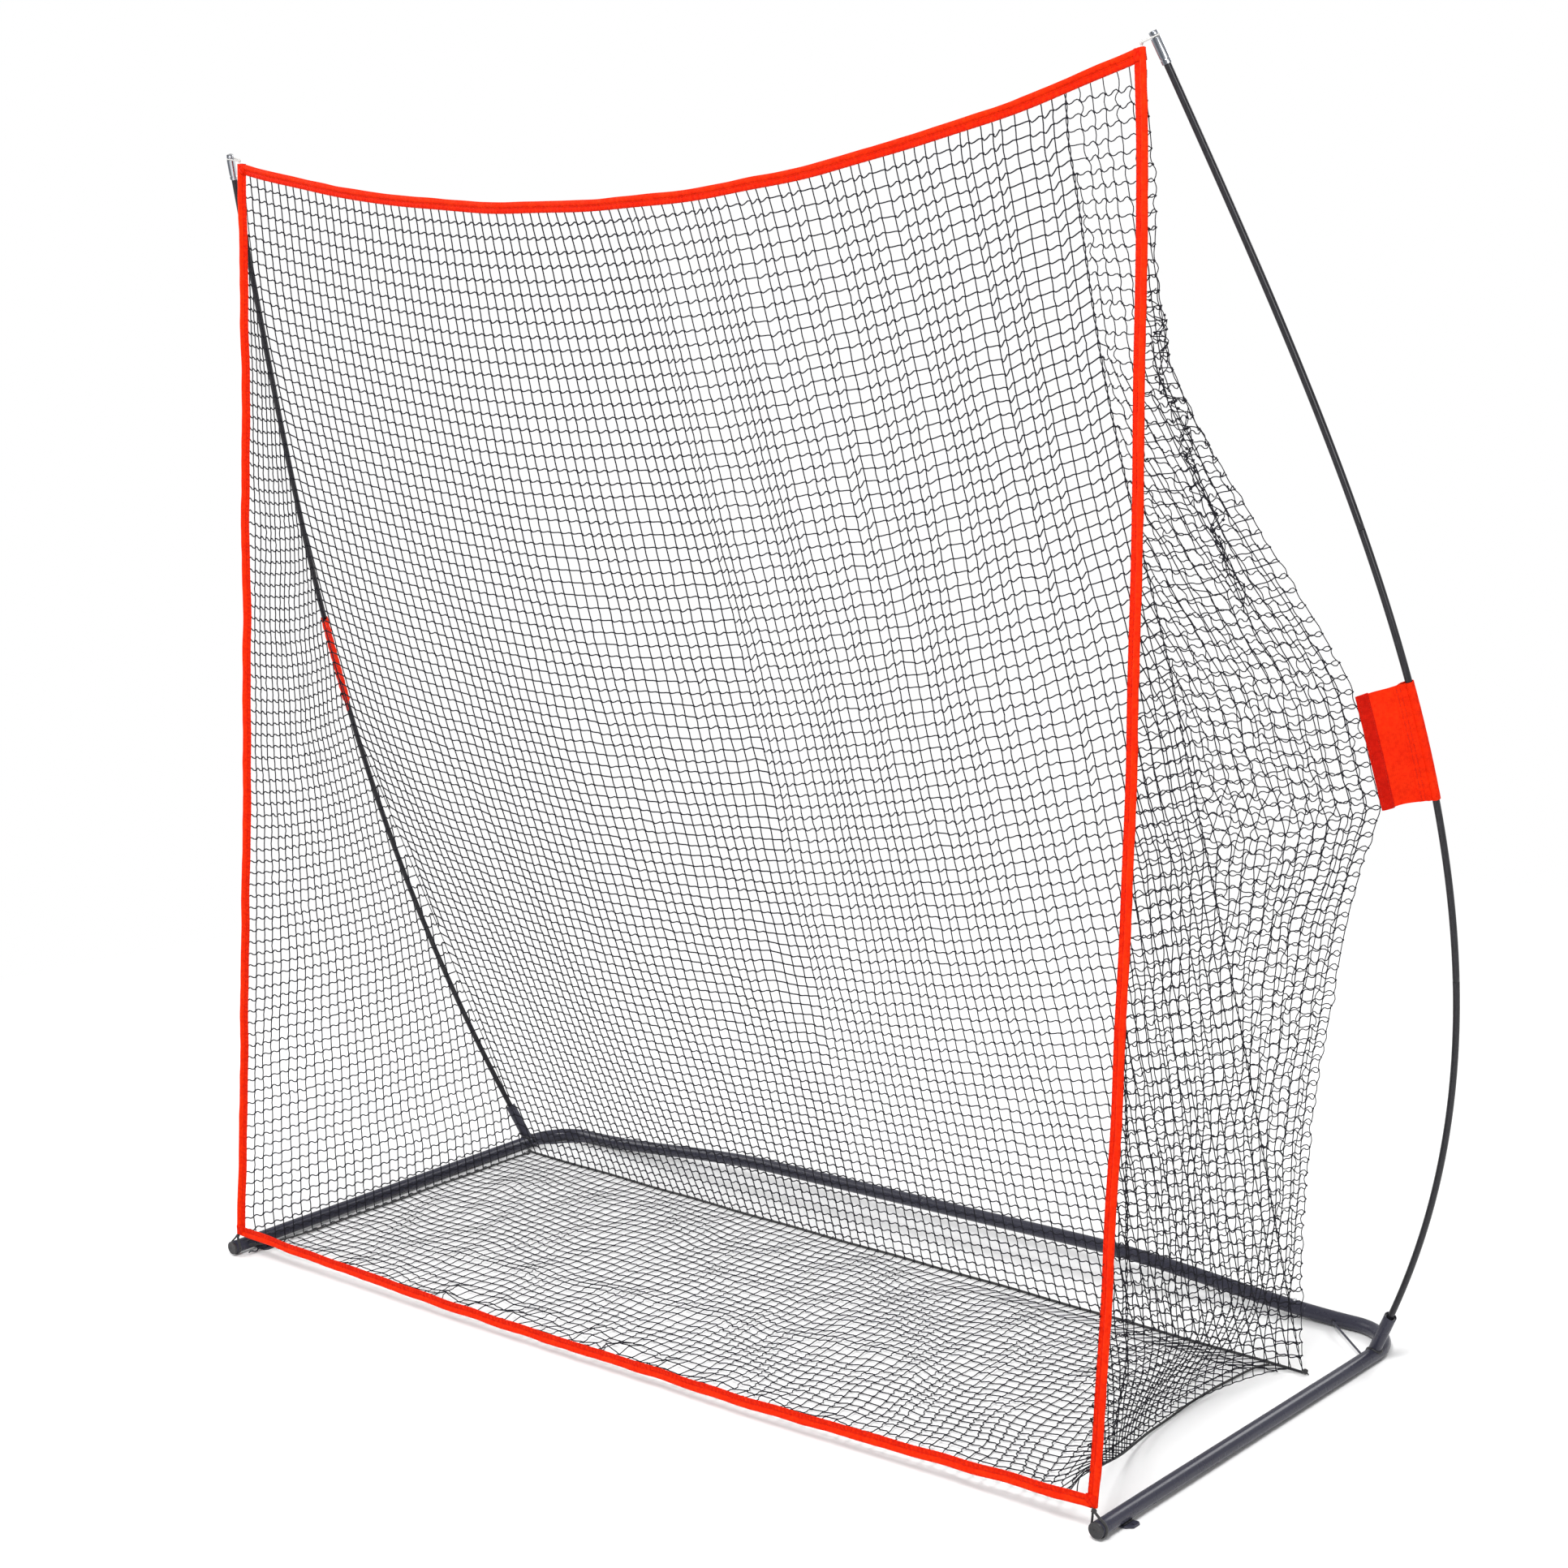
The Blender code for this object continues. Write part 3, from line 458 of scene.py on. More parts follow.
def blob(centre, radii, mat, seed, amount=0.15):
    """A lump of weld or a knot: a subdivided ball pushed about by low waves."""
    bm = bmesh.new()
    bmesh.ops.create_icosphere(bm, subdivisions=3, radius=1.0)
    ball = np.array([v.co for v in bm.verts])
    faces = np.array([[v.index for v in f.verts] for f in bm.faces])
    bm.free()
    rng = np.random.default_rng(seed)
    swell = np.ones(len(ball))
    for _ in range(5):
        freq = rng.normal(size=3) * 2.6
        swell += amount / 2.2 * sin(ball @ freq + rng.uniform(0, 6.28))
    return make("blob", ball * swell[:, None] * vec(*radii) + centre, [faces], mat, fix=True)


def join(name, obs):
    """One object from several, with the first one's material."""
    verts, faces, total = [], {}, 0
    for ob in obs:
        verts.append(vertices(ob))
        for face in ob.data.polygons:
            shifted = [i + total for i in face.vertices]
            faces.setdefault(len(shifted), []).append(shifted)
        total += len(ob.data.vertices)
    mat = obs[0].data.materials[0]
    for ob in obs:
        bpy.data.objects.remove(ob, do_unlink=True)
    return make(name, np.concatenate(verts), list(faces.values()), mat, sharp=40)


def place(ob, body, slot, *names):
    """Hands a piece over: what it rides, its slot (not used) and the pieces it replaces."""
    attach(ob, body)
    if names:
        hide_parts(*names)


# ------------------------------------------------------------------- materials
class Material:
    """A Principled material and short ways to wire its nodes."""

    def __init__(self, name, colour, roughness, metallic=0.0, **extra):
        self.data = bpy.data.materials.new(name)
        self.data.use_nodes = True
        self.tree = self.data.node_tree
        self.shader = self.tree.nodes["Principled BSDF"]
        self.fill(self.shader, Base_Color=(*colour, 1), Roughness=roughness,
                  Metallic=metallic, **extra)
        self.co = self.node("TexCoord").outputs["Object"]
        self.normal = None

    def feed(self, socket, value):
        """Links an output to the socket, or sets its value."""
        if hasattr(value, "is_output"):
            self.tree.links.new(value, socket)
        else:
            socket.default_value = value

    def fill(self, node, **inputs):
        for key, value in inputs.items():
            self.feed(node.inputs[key.replace("_", " ")], value)

    def node(self, kind, **inputs):
        node = self.tree.nodes.new("ShaderNode" + kind)
        self.fill(node, **inputs)
        return node

    def noise(self, scale, detail=3.0, roughness=0.5, stretch=(1, 1, 1), offset=0.0):
        mapping = self.node("Mapping", Vector=self.co, Scale=stretch, Location=(offset,) * 3)
        return self.node("TexNoise", Vector=mapping.outputs[0], Scale=scale, Detail=detail,
                         Roughness=roughness).outputs["Fac"]

    def wave(self, scale, stretch, distortion, direction):
        mapping = self.node("Mapping", Vector=self.co, Scale=stretch)
        wave = self.node("TexWave", Vector=mapping.outputs[0], Scale=scale,
                         Distortion=distortion, Detail=1.0)
        wave.bands_direction = direction
        return wave.outputs["Fac"]

    def attribute(self, name):
        node = self.node("Attribute")
        node.attribute_name = name
        return node.outputs["Fac"]

    def ramp(self, fac, stops):
        node = self.node("ValToRGB", Fac=fac)
        elements = node.color_ramp.elements
        while len(elements) < len(stops):
            elements.new(0.5)
        for element, (position, colour) in zip(elements, stops):
            element.position = position
            element.color = (*colour, 1)
        return node.outputs[0]

    def mix(self, fac, a, b):
        """Colour a where fac is 0, b where it is 1."""
        node = self.node("Mix")
        node.data_type = "RGBA"
        self.feed(node.inputs[0], fac)
        for i, colour in ((6, a), (7, b)):
            value = colour if hasattr(colour, "is_output") else (*colour, 1)
            self.feed(node.inputs[i], value)
        return node.outputs[2]

    def remap(self, fac, low=0.0, high=1.0, start=0.3, end=0.7):
        """Turns start..end of fac into low..high."""
        node = self.node("MapRange")
        for i, value in enumerate((fac, start, end, low, high)):
            self.feed(node.inputs[i], value)
        return node.outputs[0]

    def larger(self, a, b):
        node = self.node("Math")
        node.operation = "MAXIMUM"
        self.feed(node.inputs[0], a)
        self.feed(node.inputs[1], b)
        return node.outputs[0]

    def colour(self, fac, a, b):
        self.fill(self.shader, Base_Color=self.mix(fac, a, b))

    def rough(self, fac, low, high):
        self.fill(self.shader, Roughness=self.remap(fac, low, high))

    def bump(self, fac, distance, strength):
        """Adds a bump on top of any before it."""
        node = self.node("Bump", Height=fac, Distance=distance, Strength=strength)
        if self.normal is not None:
            self.fill(node, Normal=self.normal)
        self.normal = node.outputs[0]
        self.fill(self.shader, Normal=self.normal)


def powder_coat(name, base, dark, light):
    """Dark paint with broad clouding and fine light specks."""
    mat = Material(name, base, 0.26, Specular_IOR_Level=0.32)
    clouds = mat.mix(mat.remap(mat.noise(7.0, detail=2.0)), dark, base)
    specks = mat.noise(1400.0, detail=2.0, roughness=0.6, offset=3.1)
    mat.colour(mat.remap(specks, high=0.55, start=0.5, end=0.72), clouds, light)
    mat.rough(mat.noise(60.0, offset=1.7), low=0.21, high=0.30)
    mat.bump(mat.noise(900.0, detail=2.0, offset=5.0), distance=0.00012, strength=0.35)
    return mat.data


def fibreglass():
    mat = Material("fibreglass", (0.010, 0.010, 0.012), 0.12, Specular_IOR_Level=0.34)
    streak = mat.noise(420.0, detail=2.0, stretch=(1, 1, 0.03))
    mat.colour(mat.remap(streak), (0.008, 0.008, 0.010), (0.020, 0.019, 0.024))
    mat.rough(mat.noise(35.0, offset=2.0), low=0.08, high=0.15)
    mat.bump(streak, distance=0.00005, strength=0.3)
    return mat.data


def chrome_plate():
    """Polished metal with a painted reflection: a point attribute sets light and dark stripes of
    what it would reflect in its colour.
    """
    mat = Material("chrome_plate", (0.55, 0.56, 0.58), 0.16, metallic=1.0)
    # painted reflection: the attribute picks dark, mid and bright tones of the colour
    painted_reflection = mat.ramp(mat.attribute("painted_reflection"), [
        (0.22, (0.07, 0.08, 0.10)), (0.46, (0.34, 0.36, 0.40)), (0.72, (0.92, 0.93, 0.95))])
    mat.colour(mat.remap(mat.noise(900.0, detail=2.0), high=0.12), painted_reflection, (0.5, 0.5, 0.5))
    mat.rough(mat.noise(300.0, stretch=(1, 1, 0.15)), low=0.07, high=0.22)
    mat.bump(mat.noise(700.0, detail=2.0, stretch=(1, 1, 0.1)), distance=0.00003, strength=0.25)
    return mat.data


def zinc_steel():
    mat = Material("zinc_steel", (0.62, 0.63, 0.65), 0.28, metallic=1.0)
    mat.colour(mat.remap(mat.noise(240.0)), (0.50, 0.51, 0.54), (0.74, 0.75, 0.76))
    mat.rough(mat.noise(500.0, offset=1.0), low=0.20, high=0.40)
    mat.bump(mat.noise(1500.0, detail=2.0), distance=0.00003, strength=0.3)
    return mat.data


def black_moulding():
    mat = Material("black_moulding", (0.016, 0.016, 0.018), 0.48)
    mat.colour(mat.remap(mat.noise(90.0)), (0.012, 0.012, 0.014), (0.026, 0.026, 0.029))
    mat.rough(mat.noise(220.0, offset=4.0), low=0.40, high=0.58)
    mat.bump(mat.noise(2200.0, detail=2.0), distance=0.00008, strength=0.4)
    return mat.data


def braid(name, dark, light, pitch, roughness):
    """Cord: fine crossing strands."""
    mat = Material(name, dark, roughness, Sheen_Weight=0.15, Sheen_Roughness=0.5)
    strands = mat.larger(*(mat.wave(pitch, stretch, 1.5, "DIAGONAL")
                           for stretch in ((1, 1, 0.7), (1, -1, -0.7))))
    mat.colour(strands, dark, light)
    mat.rough(mat.noise(400.0), low=roughness - 0.1, high=roughness + 0.12)
    mat.bump(strands, distance=0.0003, strength=0.5)
    return mat.data


def cloth(name, bright, mid, deep_dye_and_shade, weave):
    """Woven polyester: warp and weft, uneven dye, and painted shade in its creases and along its
    seams, carried with some uneven tone by a point attribute.
    """
    mat = Material(name, bright, 0.66, Specular_IOR_Level=0.05)
    threads = mat.larger(mat.wave(weave / 6.28, (1, 1, 0), 0.6, "X"),
                         mat.wave(weave / 6.28, (0, 0.2, 1), 0.6, "Z"))
    fine = mat.noise(190.0, detail=4.0, offset=2.0)
    dye = mat.mix(mat.remap(mat.noise(28.0)), mid, bright)
    dye = mat.mix(mat.remap(fine, high=0.55), dye, deep_dye_and_shade)
    dye = mat.mix(mat.remap(threads, low=0.30, high=0.0, start=0.35, end=1.0), dye, deep_dye_and_shade)
    # painted shade: the point attribute darkens creases and seams towards the deep colour
    mat.colour(mat.attribute("painted_shade_and_dye"), dye, deep_dye_and_shade)
    mat.rough(fine, low=0.52, high=0.74)
    mat.bump(threads, distance=0.00018, strength=0.45)
    mat.bump(fine, distance=0.0006, strength=0.35)
    return mat.data


def stitch_thread_groove_shade():
    # thread darker than the tape: painted shade of the stitch grooves on a red thread
    mat = Material("stitch_thread_groove_shade", (0.60, 0.012, 0.002), 0.6, Specular_IOR_Level=0.2)
    twist = mat.noise(3000.0, detail=2.0)
    mat.colour(mat.remap(twist), (0.42, 0.006, 0.001), (0.72, 0.018, 0.003))
    mat.rough(twist, low=0.45, high=0.65)
    mat.bump(twist, distance=0.00005, strength=0.4)
    return mat.data


def net_twine():
    mat = Material("net_twine", (0.010, 0.010, 0.015), 0.78, Specular_IOR_Level=0.15)
    fine = mat.noise(2600.0, detail=2.0, offset=2.0)
    broad = mat.mix(mat.remap(mat.noise(16.0)), (0.006, 0.006, 0.010), (0.014, 0.014, 0.021))
    mat.colour(mat.remap(fine, high=0.5), broad, (0.026, 0.026, 0.034))
    mat.rough(fine, low=0.62, high=0.82)
    mat.bump(fine, distance=0.00006, strength=0.4)
    return mat.data


M_TUBE = powder_coat("powder_coat", base=(0.036, 0.036, 0.055), dark=(0.029, 0.029, 0.045),
                     light=(0.060, 0.061, 0.084))
M_WELD = powder_coat("weld_coat", base=(0.017, 0.017, 0.021), dark=(0.012, 0.012, 0.015),
                     light=(0.034, 0.034, 0.042))
M_GLASS = fibreglass()
M_CHROME = chrome_plate()
M_STEEL = zinc_steel()
M_PLASTIC = black_moulding()
M_ELASTIC = braid("black_elastic_braid", (0.008, 0.008, 0.009), (0.024, 0.024, 0.026),
                  pitch=320.0, roughness=0.8)
M_CORD = braid("white_cord_braid", (0.42, 0.41, 0.40), (0.66, 0.65, 0.63),
               pitch=420.0, roughness=0.78)
M_CLOTH = cloth("orange_red_webbing", bright=(0.96, 0.038, 0.0012), mid=(0.88, 0.026, 0.0010),
                deep_dye_and_shade=(0.50, 0.004, 0.0004), weave=1150.0)
M_SLEEVE = cloth("orange_red_cloth", bright=(0.93, 0.032, 0.0014), mid=(0.84, 0.022, 0.0011),
                 deep_dye_and_shade=(0.58, 0.008, 0.0008), weave=900.0)
M_HEM = cloth("orange_red_hem", bright=(0.66, 0.010, 0.0010), mid=(0.52, 0.006, 0.0008),
              deep_dye_and_shade=(0.34, 0.003, 0.0005), weave=900.0)
M_THREAD = stitch_thread_groove_shade()
M_TWINE = net_twine()

# ------------------------------------------------------------------ steel base
COAT = "gunmetal_powder_coat"
TUBE_BORE = TUBE_R - TUBE_WALL


def side_tube(word, side):
    """Side run, rear bend and the short leg of the crossbar."""
    y = linspace(FRONT_Y + CAP_FLANGE + 0.0003, BEND_Y - 0.01, 31)
    a = np.radians(linspace(0, 90, 30))
    bend_x = TRACK - BEND_R
    x = linspace(bend_x - 0.008, LEG_END_X + 0.0003, 16)
    path = np.concatenate([points(TRACK, y, side_z(y)),
                           points(bend_x + BEND_R * cos(a), BEND_Y + BEND_R * sin(a), REAR_Z),
                           points(x, REAR_Y, cross_z(x))])
    ob = pipe(word + "_base_tube", mirror(path, side), TUBE_R, TUBE_BORE, M_TUBE)
    place(ob, "base", COAT, word + "_side_tube")


def cross_tube(word, side):
    """Half of the crossbar, with holes in its top for the push buttons."""
    x = linspace(0.0003, LEG_END_X - 0.0003, 90)
    path = mirror(points(x, REAR_Y, cross_z(x)), side)
    ob = pipe(word + "_cross_tube", path, TUBE_R, TUBE_BORE, M_TUBE)
    holes = [side * (LEG_END_X - 0.024)] + ([0.026] if side > 0 else [])
    cut_holes(ob, [drill(x, REAR_Y, cross_z(x) + 0.004, cross_z(x) + 0.022, 0.0040)
                   for x in holes])
    place(ob, "base", COAT, word + "_crossbar_tube")


def end_cap(word, side):
    """Moulded disc with a raised rim and a shallow dimple, on a hollow plug."""
    rim = TUBE_R + 0.0001
    plug = TUBE_BORE - 0.0003
    floor = 0.0037
    disc = round_profile([(0.0, 0.0010), (0.0030, 0.0010), (0.0036, 0.0004), (0.0088, 0.0004),
                          (0.0094, 0.0), (rim, 0.0), (rim, CAP_FLANGE), (plug, CAP_FLANGE)])
    profile = disc + [(plug, 0.0155), (plug - 0.0005, 0.016), (plug - 0.0016, 0.016),
                      (plug - 0.0016, floor), (0.0, floor)]
    centre = vec(TRACK * side, FRONT_Y, side_z(FRONT_Y))
    ob = turned(word + "_cap_moulding", centre, YDIR, profile, M_PLASTIC, 64)
    place(ob, "base", "black_plastic", word + "_end_cap")


def foot_plate(word, side):
    """Flat plate with clipped corners, softened edges and a hole each side of the tube."""
    c = 0.007
    x0, y0 = PLATE_LO[0], PLATE_LO[1]
    x1, y1 = PLATE_HI[0], PLATE_HI[1]
    outline = [(x0 + c, y0), (x1 - c * 1.6, y0), (x1, y0 + c * 1.3), (x1, y1 - c * 0.6),
               (x1 - c * 0.6, y1), (x0 + c * 0.6, y1), (x0, y1 - c * 0.6), (x0, y0 + c)]
    low = np.array([(x * side, y, 0.0) for x, y in outline])
    ob = lofted(word + "_plate", np.array([low, low + vec(0, 0, PLATE_T)]), M_TUBE)
    bevel = ob.modifiers.new("edge", "BEVEL")
    bevel.width, bevel.segments, bevel.limit_method = 0.0007, 3, "ANGLE"
    cut_holes(ob, [drill(x * side, PLATE_Y, -0.003, 0.008, 0.0026)
                   for x in (TRACK + 0.0165, TRACK - 0.0245)])
    place(ob, "base", COAT, word + "_foot_plate")


def plate_welds(word, side):
    """Fillet welds along both sides of the tube."""
    beads = []
    for k, across in enumerate((-1, 1)):
        y = linspace(PLATE_Y - 0.0115, PLATE_Y + 0.0115, 40)
        radius = 0.0021 + 0.00035 * sin(y * 2 * pi / 0.0034) + 0.0002 * sin(y * 900 + k)
        radius[[0, -1]] = 0.0006
        path = points((TRACK + across * 0.0074) * side, y, PLATE_T + 0.0006)
        beads.append(rod("bead", path, radius, M_WELD, 16))
    place(join(word + "_plate_welds", beads), "base", COAT)


def tube_gap(p):
    """Distance of a point from the side tube's axis, less the radius."""
    if p[1] <= BEND_Y:
        return np.hypot(p[0] - TRACK, p[2] - side_z(p[1])) - TUBE_R
    off_bend = np.hypot(p[0] - (TRACK - BEND_R), p[1] - BEND_Y) - BEND_R
    return np.hypot(off_bend, p[2] - REAR_Z) - TUBE_R


def socket(word, side):
    """Leaning pole socket, its weld to the side tube and its plastic bush."""
    path = mirror(on_socket(linspace(-0.002, SOCKET_TOP_S, 14)[:, None]), side)
    ob = pipe(word + "_socket_tube", path, SOCKET_R, SOCKET_BORE, M_TUBE, lip=0.0006)
    place(ob, "base", COAT, word + "_pole_socket")

    # the bead follows the line where the socket meets the tube
    e1 = unit(np.cross(SOCKET_AXIS, YDIR))
    e2 = np.cross(SOCKET_AXIS, e1)
    ring = []
    for a in turn(120):
        spoke = (e1 * cos(a) + e2 * sin(a)) * (SOCKET_R - 0.0002)
        low, high = -0.02, 0.06
        for _ in range(40):
            mid = (low + high) / 2
            if tube_gap(on_socket(mid) + spoke) > 0:
                high = mid
            else:
                low = mid
        ring.append(on_socket(high) + spoke * 1.04)
    k = np.arange(120)
    radius = 0.0023 + 0.00042 * np.abs(sin(k * pi / 5.0)) + 0.0003 * sin(k * 0.21 + 1)
    ob = rod(word + "_socket_weld", mirror(ring, side), radius, M_WELD, 16, closed=True)
    place(ob, "base", COAT)

    floor = BUSH_FLOOR_S + BUSH_FLOOR_T
    profile = round_profile([(0.0, BUSH_FLOOR_S), (BUSH_R, BUSH_FLOOR_S), (BUSH_R, BUSH_TOP_S),
                             (BUSH_BORE, BUSH_TOP_S), (BUSH_BORE, floor), (0.0, floor)])
    ob = turned(word + "_bush_ring", mirror(on_socket(0.0), side), mirror(SOCKET_AXIS, side),
                profile, M_PLASTIC)
    place(ob, "base", "black_plastic", word + "_socket_bush")


def tie_rod(word, side):
    """Thin rod across the bend, with a puddle of weld at each end."""
    a = vec(0.921, REAR_Y - TUBE_R - 0.0024, REAR_Z + 0.0015)
    b = vec(TRACK - TUBE_R - 0.0024, 0.335, side_z(0.335) + 0.0012)
    t = linspace(0, 1, 24)
    radius = CORD_R * (1 - 0.25 * bell(t, 0.0, 0.03) - 0.25 * bell(t, 1.0, 0.03))
    ob = rod(word + "_tie_rod", mirror(a + (b - a) * t[:, None], side), radius, M_TUBE, 20)
    place(ob, "base", COAT, word + "_corner_brace")
    puddles = [blob(mirror(a + vec(0.001, 0.001, -0.0005), side),
                    (0.0040, 0.0024, 0.0026), M_WELD, seed=3),
               blob(mirror(b + vec(0.0012, -0.001, -0.0005), side),
                    (0.0024, 0.0042, 0.0026), M_WELD, seed=4)]
    place(join(word + "_tie_rod_welds", puddles), "base", COAT)


# ----------------------------------------------------------------------- poles
def pole(word, side):
    """Three lengths of fibreglass tube."""
    ends = [POLE_START_S] + [j * POLE_L for j in POLE_JOINTS] + [POLE_L]
    for k, part in enumerate(("lower", "middle", "upper")):
        s = linspace(ends[k] + (JOINT_GAP if k else 0), ends[k + 1] - (JOINT_GAP if k < 2 else 0),
                     60)
        ob = pipe(word + "_fibreglass_" + part, mirror(pole_at(s), side), POLE_R, POLE_BORE,
                  M_GLASS, 28, lip=0.0005)
        place(ob, "bow", "black_fibreglass", "%s_pole_%s" % (word, part))


def paint_reflection_stripes(ob, origin, axis):
    """Painted reflection: light and dark stripes in a bright tube's colour, by the angle around
    its axis.
    """
    spokes = vertices(ob) - origin
    u = unit(np.cross(axis, vec(0.62, -0.70, 0.35)))
    a = np.arctan2(spokes @ np.cross(axis, u), spokes @ u)
    tone = 0.5 + 0.30 * cos(2 * a + 0.9) + 0.22 * cos(3 * a - 0.7) + 0.12 * cos(5 * a + 1.1)
    point_attribute(ob, "painted_reflection", clamp(tone))


def pole_cap(word, side):
    """Chrome ferrule with a grooved skirt, neck and head, and a pin through the neck."""
    tip, axis = pole_tip(side)
    groove_r = TIP_R - 0.0005
    n0, n1 = NECK_START, NECK_START + NECK_H
    top = n1 + HEAD_H
    profile = round_profile(
        [(TIP_BORE, 0.0006), (TIP_BORE, -TIP_SKIRT), (TIP_R, -TIP_SKIRT), (TIP_R, -0.0300),
         (groove_r, -0.0292), (groove_r, -0.0272), (TIP_R, -0.0264), (TIP_R, n0),
         (NECK_R, n0 + 0.0004), (NECK_R, n1 - 0.0002), (HEAD_R, n1), (HEAD_R, top - 0.0008),
         (HEAD_R - 0.0016, top), (0.0, top)], steps=4)
    ob = turned(word + "_ferrule", tip, axis, [(0.0, 0.0006)] + profile, M_CHROME, 64)
    # the ferrule's reflection is painted into its colour
    paint_reflection_stripes(ob, tip, axis)
    place(ob, "bow", "chrome", word + "_tip_cap")

    # the cross pin keeps the cord in its groove
    level = unit(np.cross(axis, UP))
    pin = unit(np.cross(level, axis) * 0.25 + level)
    centre = tip + axis * (NECK_START + NECK_H / 2)
    t = linspace(-1, 1, 15)
    radius = np.where(np.abs(t) > 0.9, 0.00055, 0.0008)
    radius[[0, -1]] = 0.0003
    ob = rod(word + "_cord_pin", centre + pin * (t * 0.0072)[:, None], radius, M_CHROME, 16)
    # the pin's reflection is painted into its colour
    paint_reflection_stripes(ob, centre, pin)
    place(ob, "bow", "chrome")


for word, side in SIDES:
    for build in (side_tube, cross_tube, end_cap, foot_plate, plate_welds, socket, tie_rod,
                  pole, pole_cap):
        build(word, side)

# frame pieces that stay in view: clips, spigots and push buttons
for name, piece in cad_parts.items():
    if piece.hide_render:
        continue
    if any(part in name for part in ("button", "clip", "pole_spigot")):
        mat = M_STEEL
    elif "spigot" in name:
        mat = M_TUBE
    else:
        continue
    piece.data.materials.clear()
    piece.data.materials.append(mat)
    piece.data.shade_smooth()
    piece.data.set_sharp_from_angle(angle=np.radians(40))

# ------------------------------------------------------------------ stitches
# raised threads, ring by ring: place along the stitch, radius, lift off the cloth
TAPE_THREAD = ((-0.0015, 0.000063, -0.00024), (-0.000825, 0.000357, 0.00004),
               (0.000825, 0.000357, 0.00004), (0.0015, 0.000063, -0.00024))
SLEEVE_THREAD = ((-0.00145, 0.000076, -0.00015), (-0.000725, 0.00038, 0.00006),
                 (0.000725, 0.00038, 0.00006), (0.00145, 0.000076, -0.00015))


def stitch_rings(centre, along, across, out, thread):
    """Rings (stitches, 4, 6, 3) of one row of stitches."""
    rings = [centre + along * reach + out * lift + (across * cos(a) + out * sin(a)) * radius
             for reach, radius, lift in thread for a in turn(6)]
    return np.array(rings).reshape(4, 6, -1, 3).transpose(2, 0, 1, 3)


def stitches(name, rings):
    index = (np.arange(len(rings)) * 24)[:, None, None] + np.arange(24).reshape(4, 6)
    caps = np.concatenate([index[:, 0, ::-1], index[:, -1]])
    ob = make(name, rings.reshape(-1, 3), [bridge(index), caps], M_THREAD)
    return ob


# ------------------------------------------------------------- bound edge tape
TAPE_STEP = 0.0028
PUCKER_PITCH = 0.0088
TAPE_STITCH_PITCH = 0.0044
TAPE_SEAMS = (0.16, 0.84)       # across the tape: -1 outer fold, +1 net side
TAPE_FLAT = 0.00150             # half thickness of the sewn inner part


def tape(name, path, wide, inner, seed):
    """Folded binding tape: rounded fold outside, puckered and sewn inside.

    path is the middle line, wide the width direction, inner its sign towards
    the net.  Puckers lie between the stitches, along the inner half."""
    length = arc_length(path)
    s = linspace(0, length[-1], int(length[-1] / TAPE_STEP))
    line = on_path(s, length, path)
    along = unit(np.gradient(line, axis=0))
    across = unit(wide - along * (along @ wide)[:, None]) * inner
    out = np.cross(along, across)
    line = (line + out * (0.0009 * wander(s, seed))[:, None]
            + across * (0.0007 * wander(s, seed + 1, lo=0.08))[:, None])

    # section: up one face and back along the other
    one_face = np.concatenate([-0.51 - 0.49 * cos(linspace(0, pi * 0.92, 12)),
                               linspace(0.05, 1, 11)])
    u = np.concatenate([one_face, one_face[::-1][1:-1]])
    face = np.concatenate([np.ones(23), -np.ones(21)])
    phase = 2 * pi * (s / PUCKER_PITCH + 0.35 * wander(s, seed + 2, lo=0.05, hi=0.2))
    front = (0.5 + 0.5 * cos(phase))[:, None]
    pucker = np.where(face > 0, front, (0.5 + 0.5 * cos(phase + 2.2))[:, None])
    flat = TAPE_FLAT * sqrt(np.maximum(1 - np.abs(u) ** 6, 0)) * (u > -0.5)
    fold_round = sqrt(np.maximum(1 - ((u + 0.51) / 0.49) ** 2, 0))
    profile = np.maximum(0.98 * BAND_T / 2 * fold_round, flat)
    sewn = bell(u, TAPE_SEAMS[0], 0.09) + bell(u, TAPE_SEAMS[1], 0.08) * 0.7
    puckered = bell(u, 0.58, 0.24)
    thick = profile * (1 - 0.42 * sewn) + 0.00085 * puckered * (pucker - 0.55)
    thick = thick + 0.00022 * (u < 0.2) * wander(s, seed + 5, 6, 0.03, 0.12)[:, None]
    thick = np.maximum(thick, 0.00015)
    edge = (1 + 0.030 * (u > 0.6) * (front - 0.5)
            + 0.018 * (u < -0.5) * wander(s, seed + 7, 5, 0.03, 0.2)[:, None])
    rings = (line[:, None] + across[:, None] * (u * edge * BAND_W / 2)[..., None]
             + out[:, None] * (thick * face)[..., None])
    band = lofted(name, rings, M_CLOTH)
    # painted shade: darker over the inner half, in the troughs of the puckers and along the seams,
    # with a little uneven dye tone
    tone = 0.16 * smooth((u + 0.05) / 0.35) + 0.52 * puckered * (1 - pucker) + 0.40 * sewn
    tone = tone + 0.10 * clamp(wander(s, seed + 9, 6, 0.02, 0.10))[:, None]
    point_attribute(band, "painted_shade_and_dye", np.clip(tone, 0, 0.9).ravel())

    # stitches on both faces along the two sewn lines
    at = np.arange(0.006, length[-1] - 0.006, TAPE_STITCH_PITCH)
    i = np.clip(np.searchsorted(s, at), 1, len(s) - 2)
    rows = []
    for seam in TAPE_SEAMS:
        for sign in (1, -1):
            centre = (line[i] + across[i] * (seam * BAND_W / 2)
                      + out[i] * (sign * (TAPE_FLAT * 0.62 + 0.00035)))
            rows.append(stitch_rings(centre, along[i], across[i], out[i] * sign, TAPE_THREAD))
    return [band, stitches(name + "_stitches", np.concatenate(rows))]


def ride_bow(ob):
    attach(ob, "bow")


def ride_base(ob):
    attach(ob, "base")


def flexing(ob):
    """Cloth between the base and the bow: its transform is baked into the mesh and it rides
    neither body.
    """
    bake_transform(ob)


def border(word, path, wide, inner, seed, hold):
    parts = tape(word + "_binding", path, wide, inner, seed)
    for part in parts:
        hold(part)
    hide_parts(word + "_border")


